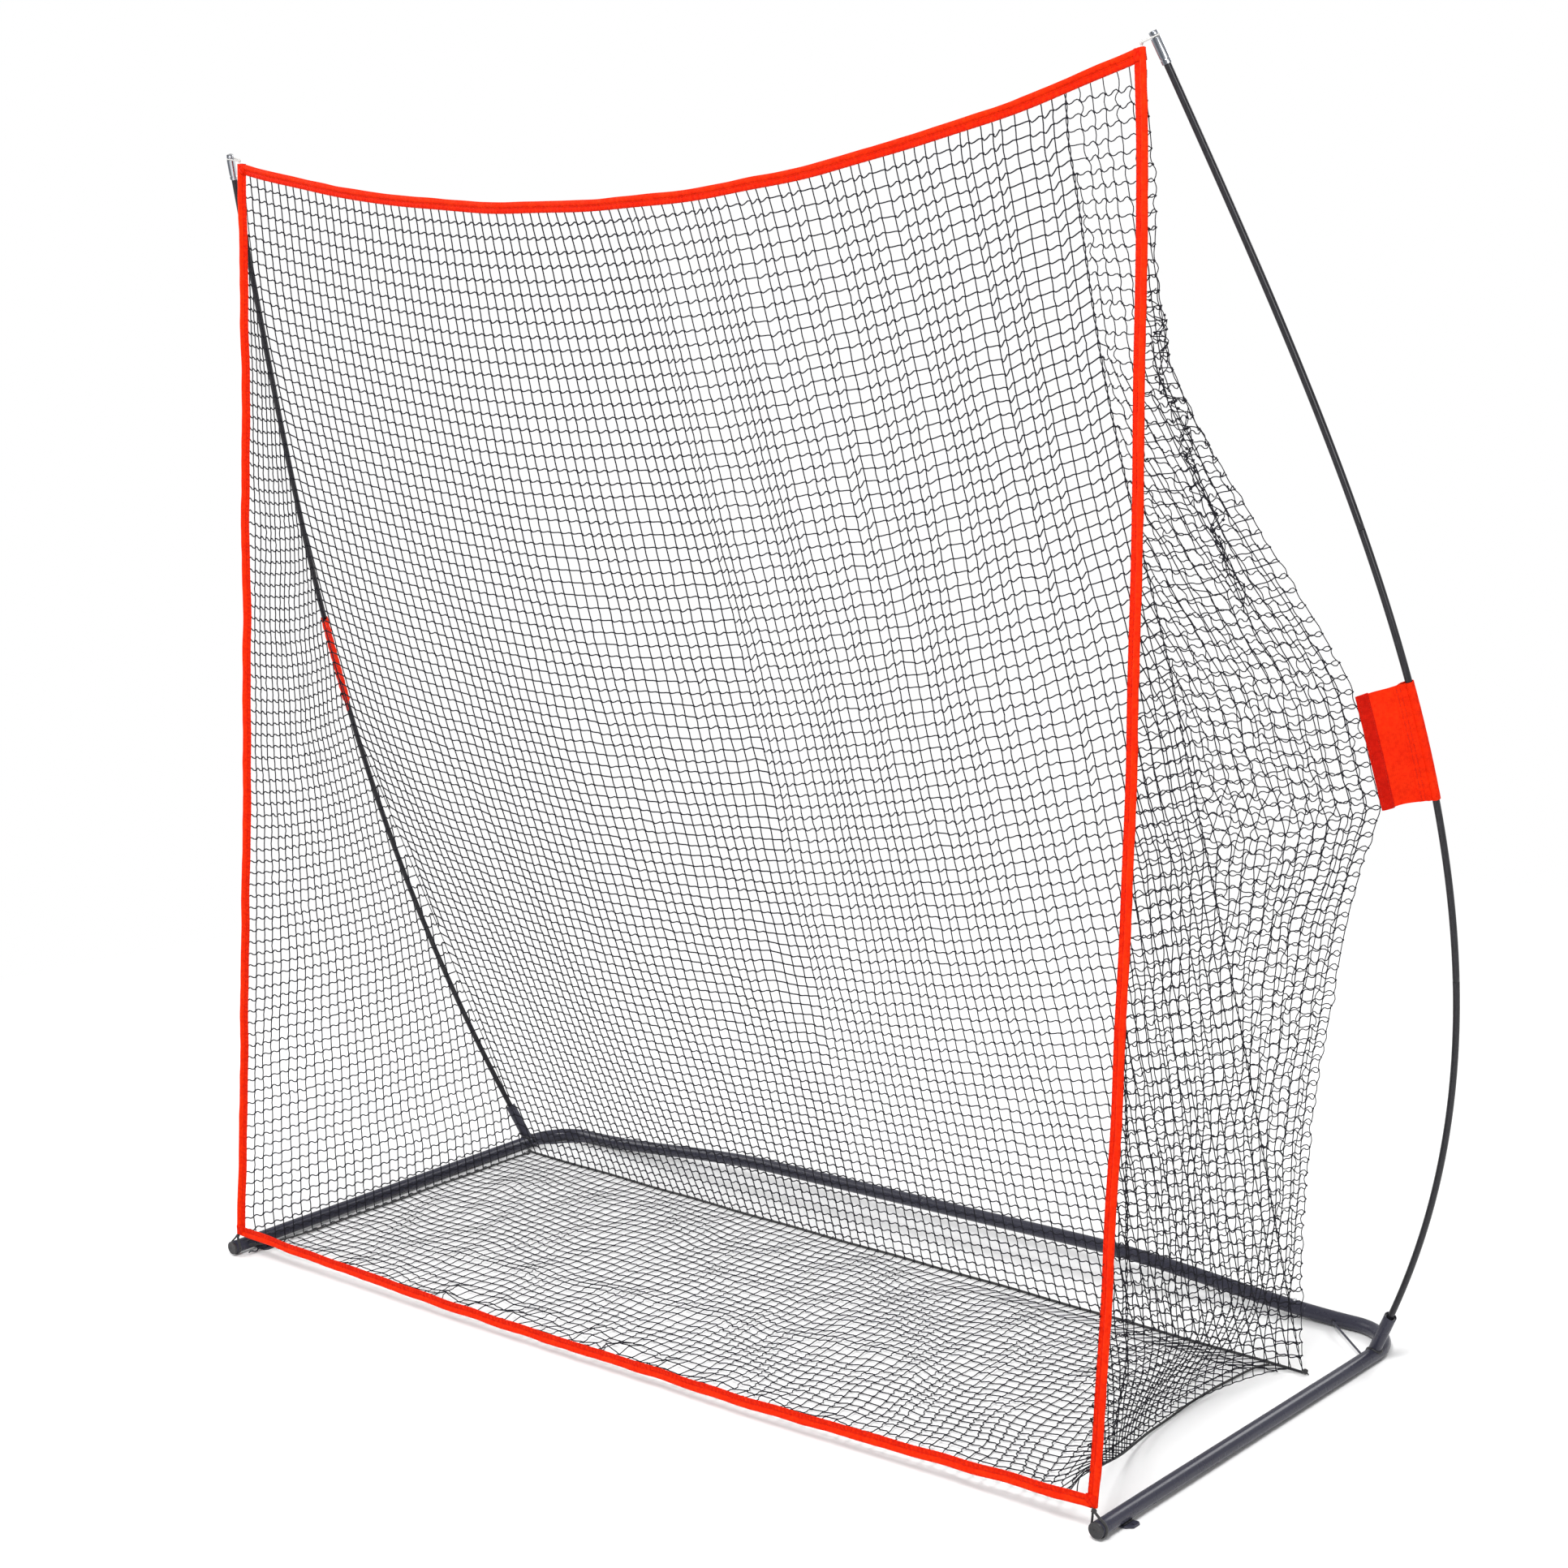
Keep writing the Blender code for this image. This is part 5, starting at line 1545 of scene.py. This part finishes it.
def settled_back():
    grid = back_grid()
    pinned = -grid[..., 0] > fold(grid[..., 2], -1.0)[..., 0] - 0.022
    pinned[0], pinned[-1], pinned[:, -1] = True, True, True
    return settle(grid, pinned, row_length=0.0262, col_length=0.0240)


BACK = settled_back()
LEFT_REACH = fold(BACK[..., 2], -1.0)[..., 0]
INSIDE = -BACK[..., 0] < LEFT_REACH - 0.006     # knots short of the left fold


def left_fold():
    """Where every row meets the left fold, as if on the right."""
    out = []
    for row, reach in zip(BACK, LEFT_REACH):
        over = reach + row[:, 0]                # negative past the fold
        j = int(np.argmax(over > 0))
        z = row[0, 2]
        if j:
            t = over[j - 1] / (over[j - 1] - over[j])
            z = row[j - 1, 2] + (row[j, 2] - row[j - 1, 2]) * t
        out.append(fold(max(z, FLOOR_KNOT_Z), -1.0))
    return np.array(out)


LEFT_FOLD = left_fold()


def back_netting():
    """Two halves, left and right of the middle column."""
    left, right = Net("back_netting_left"), Net("back_netting_right")
    for i in range(1, ROWS):
        row = BACK[i]
        first = int(np.argmax(INSIDE[i]))
        left_row = np.concatenate([mirror(LEFT_FOLD[i], -1.0)[None], row[first:COLS_LEFT + 1]])
        left.twine(row_twine(left_row, 0.0258, KINK, 1000 + i), TWINE_LEFT, UP)
        right.twine(row_twine(row[COLS_LEFT:], 0.0262, KINK, 1400 + i, cap=0.0050),
                    TWINE_BACK, UP)
        left.knots(row[first:COLS_LEFT], KNOT * 1.05, 6100 + i)
        right.knots(row[COLS_LEFT:-1], KNOT * 1.05, 6300 + i)
    for j in range(1, COLS_LEFT + COLS_RIGHT):
        net, radius = (left, TWINE_LEFT) if j < COLS_LEFT else (right, TWINE_BACK)
        rows = np.flatnonzero(INSIDE[:, j])
        if len(rows) < 2:
            continue
        for run in runs(rows):
            a, b = run[0], run[-1]
            line = list(BACK[run, j])
            if a > 0:
                line.insert(0, mirror((LEFT_FOLD[a] + LEFT_FOLD[a - 1]) / 2, -1.0))
            if b < ROWS:
                line.append(mirror((LEFT_FOLD[b] + LEFT_FOLD[b + 1]) / 2, -1.0))
            if len(line) > 2:
                net.twine(column_twine(line, 2000 + j, XDIR, 2, 0.0006),
                          radius * COLUMN_THIN, YDIR)
    pieces = [left.build(), right.build()]
    for piece in pieces:
        flexing(piece)
    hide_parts("back_net")


back_netting()

# ---- side panels: from the back seam round the fold to the border
COLUMN_PITCH = 0.0226
FOLD_AT = 59                        # index of the fold in a row's curve
GATHER_W = 0.042                    # reach of the gathered columns on the right
DROP_Y = -0.305                     # y of the doubled column on the right


def gather_at(v):
    """Place of the gathered columns on the right, beyond the fold."""
    return 0.018 + 0.076 * clamp((v - 0.15) / 0.235) ** 1.5


class SidePanel:
    """Netting of one side, worked out as if on the right.

    Row i lies at the share v = i / ROWS from the top.  Places along a row are
    lengths from the fold, negative towards the back seam."""

    def __init__(self, word, side, seed):
        self.side, self.seed = side, seed
        self.net = Net(word + "_side_netting")
        self.radius = TWINE_R if side > 0 else TWINE_LEFT
        self.rows = [self.row_ends(i) for i in range(ROWS + 1)]
        self.curves = []
        for i, (seam, corner, edge) in enumerate(self.rows):
            path = self.row_path(seam, corner, edge, i / ROWS)
            s = arc_length(path)
            self.curves.append((path, s - s[FOLD_AT]))
            self.rows[i] = (seam, corner, path[-1])
        self.fields = (waves(seed, 8, 1.2, 4), waves(seed + 1, 12, 5, 12),
                       waves(seed + 2, 16, 15, 34))
        self.knots, self.order = {}, {}
        self.place_knots()

    def row_ends(self, i):
        """Where a row leaves the back panel, its fold, and the border."""
        top = TOP_C[2] - 0.012
        z = top + (0.006 - top) * i / ROWS          # row height at the border
        edge = side_edge(z) + vec(-0.006, 0.0032, 0)
        if self.side > 0:
            seam = BACK[i, -1]
            return seam, fold(seam[2] * 0.35 + z * 0.65, 1.0) + vec(-0.001, 0, 0), edge
        if z <= BOT_C[2] + 0.002:
            edge = vec(1.022, BOT_C[1] + 0.0042, max(z, 0.006))
        return LEFT_FOLD[i], LEFT_FOLD[i], edge

    def row_path(self, seam, corner, edge, v):
        """Dense line of a row; it hangs in a little between its supports."""
        side = self.side
        loose, sag = (1.0, 0.014) if side > 0 else (0.35, 0.018)
        t = linspace(0, 1, FOLD_AT + 1)[:, None]
        back_part = min(np.linalg.norm(corner - seam) / 0.25, 1.0)
        front_part = min(np.linalg.norm(edge - corner) / 0.42, 1.0)
        back = seam + (corner - seam) * t
        front = corner + (edge - corner) * t
        run = edge - corner
        inward = unit(vec(-run[1], run[0], 0))
        if inward[0] > 0:
            inward = -inward
        slack = sin(pi * v) ** 0.7
        front = front + inward * (loose * 0.026 * slack * front_part) * arch(t) * (0.65 + 0.35 * v)
        front[:, 2] -= (sag * slack * arch(t) * front_part)[:, 0]
        back[:, 2] -= (0.008 * loose * slack * arch(t) * back_part)[:, 0]
        if v > 0.90:                    # the last rows follow the floor cord
            cord_x = floor_side_x(front[:, 1], side) + (-0.0015 if side > 0 else 0.002)
            follow = smooth((v - 0.90) / 0.10) * sin(pi * t[:, 0]) ** 0.4
            front[:, 0] += (cord_x - front[:, 0]) * follow
        if side > 0:                    # the rows close up above the rising cord
            cord_z, z = rope_z(front[:, 1]), front[:, 2]
            front[:, 2] = np.where(z < 0.6, cord_z + z * (1 - cord_z / 0.6), z)
        return np.concatenate([back[:-1], front])

    def columns(self, end):
        """Numbers and places of the columns of a row that ends at the border."""
        if self.side > 0:               # columns run down beside the fold
            return [(j, j * COLUMN_PITCH) for j in range(-13, 34)]
        # columns hang beside the border
        return [(m, end - m * COLUMN_PITCH) for m in range(40, 0, -1)
                if end - m * COLUMN_PITCH > 0.008]

    def place_knots(self):
        for i, (path, s) in enumerate(self.curves):
            for key, at in self.columns(s[-1]):
                if s[0] + 0.006 < at < s[-1] - 0.006:
                    moved, knot = self.knot(i, at)
                    self.knots[i, key] = knot
                    self.order.setdefault(i, []).append((moved, key))

    def knot(self, i, at):
        """Place along the row after gathering, and the knot itself."""
        v = i / ROWS
        path, s = self.curves[i]
        low, high = s[0], s[-1]
        right = self.side > 0
        near, centre = 0.0, gather_at(v)
        if right:
            gather = 0.66 * smooth((v - 0.09) / 0.05) * smooth((0.41 - v) / 0.06)
            near = gather * bell(at, centre, GATHER_W)
        moved = min(max(at - near * (at - centre), low + 0.004), high - 0.004)
        p = on_path(moved, s, path)
        tangent = unit(on_path(moved + 0.01, s, path) - on_path(moved - 0.01, s, path))
        normal = unit(np.cross(tangent, UP))
        # how far a knot may stray: little near the edges, the fold and the sleeve
        free = min((at - low) / 0.05, (high - at) / 0.05, 1.0)
        free *= min(v * 12, 1.0) * min((1 - v) * 14, 1.0)
        free *= 0.30 + 0.70 * min(abs(at) / 0.10, 1.0)
        if SLEEVE_LOW_Z - 0.01 < p[2] < SLEEVE_TOP_Z + 0.01:
            free *= min(abs(at) / 0.06, 1.0)
        free *= 0.62 if right else 0.30
        broad, mid, fine = self.fields
        q = v * 2.0
        p = p + normal * free * (0.0070 * broad(at, q) + 0.0018 * mid(at, q)
                                 + near * 0.007 * mid(at * 2.2, q * 2.2))
        p = p + tangent * free * (0.0022 * mid(at + 3, q) + 0.0012 * fine(at, q))
        p = p + UP * free * (0.0022 * mid(at + 9, q + 1) + 0.0012 * fine(at + 5, q)
                             + near * 0.004 * fine(at + 2, q))
        p[2] = max(p[2], rope_z(p[1]) if right and at > 0 else 0.0035)
        if i == 0:
            p[1:] = TOP_C[1] + 0.0012, top_z(p[0]) - 0.005
        return moved, p

    def twine(self, path, radius, ref):
        self.net.twine(mirror(path, self.side), radius, ref)

    def add_knots(self, centres, size, seed):
        self.net.knots(mirror(centres, self.side), KNOT * size, self.seed + seed)

    def lay_rows(self):
        """Row twines; returns the knots they pass."""
        passed = []
        for i in range(1, ROWS + 1):
            knots = [self.knots[i, key] for _, key in sorted(self.order.get(i, []))]
            if not knots:
                continue
            line = np.array([self.rows[i][0]] + knots + [self.rows[i][2]])
            seed = self.seed * 7 + i
            if self.side > 0:
                quiet = 1 - 0.85 * smooth((i / ROWS - 0.92) / 0.06)
                path = row_twine(line, 0.0268, s_curve(5, 0.12), seed, cap=0.0052 * quiet)
            else:
                path = row_twine(line, 0.0252, s_curve(5, 0.35), seed, cap=0.0036)
            self.twine(path, self.radius, UP)
            if i < ROWS:
                passed += knots
        return passed

    def edge_point(self, i, after, knot):
        """The border, seam or fold point a cut column runs on to, if one is near."""
        ends = [self.rows[after][0], self.rows[after][2], self.rows[i][0], self.rows[i][2]]
        if self.side < 0:
            ends += [self.curves[after][0][FOLD_AT], self.curves[i][0][FOLD_AT]]
        gaps = [np.linalg.norm(end - knot) for end in ends]
        return [ends[int(np.argmin(gaps))]] if min(gaps) < 0.036 else []

    def lay_columns(self):
        steps, bow = (4, 0.0024) if self.side > 0 else (2, 0.0006)
        # the text order of the column numbers settles their seeds
        for n, key in enumerate(sorted({k for _, k in self.knots}, key=str)):
            front = key > 0
            sideways = unit(vec(-0.35, 1.0, 0)) if front else unit(vec(1, 0.5, 0))
            present = np.array([i for i in range(ROWS + 1) if (i, key) in self.knots])
            for run in runs(present):
                a, b = run[0], run[-1]
                line = [self.knots[i, key] for i in run]
                if 0 < a < ROWS:
                    line = self.edge_point(a, a - 1, line[0]) + line
                if 0 < b < ROWS:
                    line = line + self.edge_point(b, b + 1, line[-1])
                if len(line) > 1:
                    path = column_twine(line, self.seed * 11 + n, sideways, steps, bow)
                    self.twine(path, self.radius * COLUMN_THIN, XDIR if front else YDIR)

    def strands(self, line, at, offset, count=2):
        """Strands laid together, half a turn to each cell."""
        middle = on_path(at, np.arange(len(line)), line)
        for k in range(count):
            a = (at * 2 * pi * 0.5 + k * pi)[:, None]
            path = middle + XDIR * (offset * cos(a)) + YDIR * (offset * sin(a))
            path[:, 2] = np.maximum(path[:, 2], 0.003)
            self.twine(path, TWINE_R, YDIR)

    def doubled_lines(self):
        """The back seam, and a doubled column from the border to the floor cord."""
        seam = np.array([row[0] for row in self.rows])
        self.strands(seam, linspace(0, ROWS, ROWS * 6 + 1), 0.0013)
        self.add_knots(seam[1:-1], 1.25, 3)
        drop = []
        for (path, _), row in zip(self.curves, self.rows):
            front = path[FOLD_AT:][::-1]
            if row[2][2] < 1.12 and front[0, 1] < DROP_Y:
                drop.append(on_path(DROP_Y, front[:, 1], front))
        drop = np.array(drop)
        self.strands(drop, linspace(0, len(drop) - 1, len(drop) * 5), 0.0016)
        self.add_knots(drop[1:-1], 1.2, 4)

    def tangle(self):
        """Loose ends tangled along the gathered columns."""
        rng = np.random.default_rng(self.seed + 5)
        for k in range(3):
            v = linspace(rng.uniform(0.140, 0.165), rng.uniform(0.350, 0.385), 110)
            wide = 0.0115 - 0.0080 * (v - v[0]) / (v[-1] - v[0])
            strays = (wander(v, self.seed + 20 + 3 * k + q, 6, 0.012, 0.07) for q in range(3))
            line = []
            for at, w, d1, d2, d3 in zip(v, wide, *strays):
                i = min(int(at * ROWS), ROWS - 1)
                above, below = (on_path(gather_at(at) + w * d1, s, path)
                                for path, s in self.curves[i:i + 2])
                t = at * ROWS - i
                line.append(above * (1 - t) + below * t
                            + vec(0.5 * w * d2, 0.2 * w * d2, 0.7 * w * d3))
            line = np.array(line)
            self.twine(line, TWINE_R * 0.9, YDIR)
            self.add_knots(line[4:-4:5], 1.35, 60 + k)

    def build(self):
        passed = self.lay_rows()
        self.lay_columns()
        self.add_knots(passed, 1.0, 0)
        if self.side > 0:
            self.doubled_lines()
            self.tangle()
        else:
            line = np.array([path[FOLD_AT] for path, _ in self.curves])
            self.strands(line, linspace(0, ROWS, ROWS * 6 + 1), 0.0, count=1)
        return self.net.build()


for (word, side), seed in zip(SIDES, (301, 401)):
    netting = SidePanel(word, side, seed).build()
    flexing(netting)
    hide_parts(word + "_side_net")

# ---- floor panel: lies on the ground, gathered to the cords and front binding
FLOOR_COLS, FLOOR_ROWS = 84, 31


def floor_grid():
    """Knots of the floor panel; v is 0 at the front, across runs -1 to 1."""
    across, v = np.meshgrid(np.arange(FLOOR_COLS + 1) / FLOOR_COLS * 2 - 1,
                            np.arange(FLOOR_ROWS + 1) / FLOOR_ROWS)
    p = across * 2
    front = BOT_C[1] + 0.0022
    y = front + (rear_y(across) - front) * v

    def half_width(side):
        half = floor_side_x(y, side)
        return half + (FLOOR_C[side][0] - 0.001 - half) * smooth((v - 0.93) / 0.07) - 0.0015

    x = across * np.where(across > 0, half_width(1.0), half_width(-1.0))
    broad, mid, fine = waves(91, 8, 0.8, 2.4), waves(92, 14, 3, 8), waves(93, 16, 12, 30)
    inner = clamp((1 - np.abs(across)) * 14) * clamp(v * 10) * clamp((1 - v) * 12)
    x = x + inner * (0.0022 * mid(p, v) + 0.0006 * fine(p, v))
    y = y + inner * (0.0050 * broad(p, v) + 0.0020 * mid(p + 4, v) + 0.0006 * fine(p + 7, v))
    # a soft pleat lies across the floor
    off_pleat = (v - 0.42 - 0.16 * across) / 0.045
    pleat = exp(-off_pleat ** 2) * smooth((0.75 - np.abs(across + 0.1)) / 0.3)
    y = y - 0.008 * pleat * off_pleat
    z = 0.0028 + 0.0036 * pleat + 0.0012 * np.maximum(mid(p + 1, v * 1.3), 0) * inner
    # it rises to the front binding, with puckers behind it
    edge_z = bottom_z(x) - 0.006
    z = z + (edge_z - 0.0028) * exp(-(v / 0.050) ** 1.3) * (v < 1)
    pucker = waves(94, 10, 3, 8)
    mess = bell(across, -0.25, 0.35)
    z = z + ((0.0030 + 0.0060 * mess) * np.maximum(pucker(p, v * 2), 0) * bell(v, 0.10, 0.07)
             * clamp((1 - np.abs(across)) * 8))
    y = y + (0.0020 + 0.0050 * mess) * pucker(p + 2, v * 2) * bell(v, 0.11, 0.08)
    # the right edge lifts with its cord
    lift_from = 0.86 + 0.10 * exp(-v / 0.12)
    lift = smooth((across - lift_from) / (1 - lift_from))
    z = z + (rope_z(y) - z) * lift * (v < 1)
    z[0] = np.where(lift[0] > 0.9, rope_z(y[0]), edge_z[0])
    z[-1] = FLOOR_KNOT_Z
    return points(x, y, np.maximum(z, 0.0022))


def floor_netting():
    grid = floor_grid()
    net = Net("floor_netting")
    for i in range(1, FLOOR_ROWS):
        net.twine(row_twine(grid[i], 0.0248, s_curve(4, 0.25), 4000 + i, cap=0.0032,
                            drop=vec(0, -1, 0.05)), TWINE_R * 1.12, UP)
    for j in range(1, FLOOR_COLS):
        net.twine(row_twine(grid[:, j], 0.0242, s_curve(3, 0.1), 5000 + j, cap=0.0026,
                            drop=vec(1, 0, 0.05)), TWINE_R * 1.04, UP)
    net.knots(grid[1:-1, 1:-1], KNOT, 95)
    # loops of twine round the rear cord
    rng = np.random.default_rng(8)
    for x in grid[-1, 2:FLOOR_COLS - 1, 0]:
        a = linspace(0, 2 * pi, 9) + rng.uniform(0, 1)
        loop = vec(x, rear_y(x) + 0.0015, REAR_CORD_Z) + points(
            linspace(-0.0016, 0.0016, 9), 0.0031 * cos(a), 0.0031 * sin(a))
        loop[:, 2] = np.maximum(loop[:, 2], 0.0016)
        net.twine(loop, TWINE_R * 0.8, XDIR)
    place(net.build(), "base", "net_twine", "floor_net")


floor_netting()


# ---------------------------------------------------- studio floor and lights
def studio_floor():
    bm = bmesh.new()
    bmesh.ops.create_circle(bm, cap_ends=True, segments=96, radius=60.0)
    mesh = bpy.data.meshes.new("studio_floor")
    bm.to_mesh(mesh)
    bm.free()
    stage = bpy.data.objects.new("studio_floor", mesh)
    stage.location = (0, 0, -0.0005)
    bpy.context.scene.collection.objects.link(stage)
    mat = Material("studio_floor", (0.93, 0.93, 0.93), 0.9, Specular_IOR_Level=0.0)
    mat.colour(mat.remap(mat.noise(0.4)), (0.925, 0.925, 0.925), (0.935, 0.935, 0.935))
    # beyond the light pool the floor runs out into the pale background
    distance = mat.node("VectorMath")
    distance.operation = "LENGTH"
    mat.feed(distance.inputs[0], mat.co)
    glow = mat.node("Emission", Color=(1, 1, 1, 1), Strength=1.0)
    blend = mat.node("MixShader")
    mat.feed(blend.inputs[0], mat.remap(distance.outputs["Value"], start=1.7, end=3.6))
    mat.feed(blend.inputs[1], mat.shader.outputs[0])
    mat.feed(blend.inputs[2], glow.outputs[0])
    mat.feed(mat.tree.nodes["Material Output"].inputs[0], blend.outputs[0])
    mesh.materials.append(mat.data)


def studio_world():
    """White surroundings, dimmer as a light than as a background."""
    world = bpy.data.worlds.new("studio")
    bpy.context.scene.world = world
    world.use_nodes = True
    tree = world.node_tree
    background = tree.nodes["Background"]
    background.inputs[0].default_value = (1.0, 1.0, 1.0, 1)
    path = tree.nodes.new("ShaderNodeLightPath")
    level = tree.nodes.new("ShaderNodeMapRange")
    level.inputs[3].default_value = 0.62
    level.inputs[4].default_value = 1.0
    tree.links.new(path.outputs["Is Camera Ray"], level.inputs[0])
    tree.links.new(level.outputs[0], background.inputs[1])


def light(name, shape, size, energy, location):
    data = bpy.data.lights.new(name, "AREA")
    data.shape, data.size, data.energy = shape, size, energy
    ob = bpy.data.objects.new(name, data)
    ob.location = location
    bpy.context.scene.collection.objects.link(ob)
    return ob


def aimed_light(name, location, target, size, energy):
    ob = light(name, "DISK", size, energy, location)
    ob.rotation_mode = "QUATERNION"
    ob.rotation_quaternion = (Vector(target) - Vector(location)).to_track_quat("-Z", "Y")


def strip_light():
    """Wide soft panel at the side, seen only in glossy surfaces: the streak on the poles."""
    ob = light("strip", "RECTANGLE", size=2.2, energy=90, location=(5.4, -1.9, 1.45))
    ob.data.size_y = 2.8
    ob.rotation_euler = (np.radians(90), 0, np.radians(66))
    ob.visible_camera = False
    ob.visible_diffuse = False


def camera():
    data = bpy.data.cameras.new("camera")
    data.lens, data.sensor_width = 60.906, 36.0
    data.clip_start, data.clip_end = 0.05, 200.0
    ob = bpy.data.objects.new("camera", data)
    # heading from +Y towards +X, angle looked down, roll
    heading, down, roll = np.radians((-42.96864, 10.47065, -3.51177))
    forward = vec(sin(heading) * cos(down), cos(heading) * cos(down), -sin(down))
    level = unit(np.cross(forward, UP))
    above = np.cross(level, forward)
    right = cos(roll) * level + sin(roll) * above
    up = cos(roll) * above - sin(roll) * level
    turned_to = Matrix([list(right), list(up), list(-forward)]).transposed()
    location = Matrix.Translation((3.21785, -3.33481, 1.81217))
    ob.matrix_world = location @ turned_to.to_4x4()
    scene = bpy.context.scene
    scene.collection.objects.link(ob)
    scene.camera = ob


studio_floor()
studio_world()
aimed_light("key", location=(2.2, -3.6, 5.2), target=(0, 0, 0.8), size=2.2, energy=270)
aimed_light("fill", location=(-4.5, -1.5, 3.6), target=(0, 0, 1.0), size=3.0, energy=110)
aimed_light("rim", location=(1.5, 4.5, 4.2), target=(0, 0, 1.0), size=3.0, energy=130)
strip_light()
bpy.context.scene.view_settings.view_transform = "Standard"
bpy.context.scene.view_settings.look = "None"
camera()
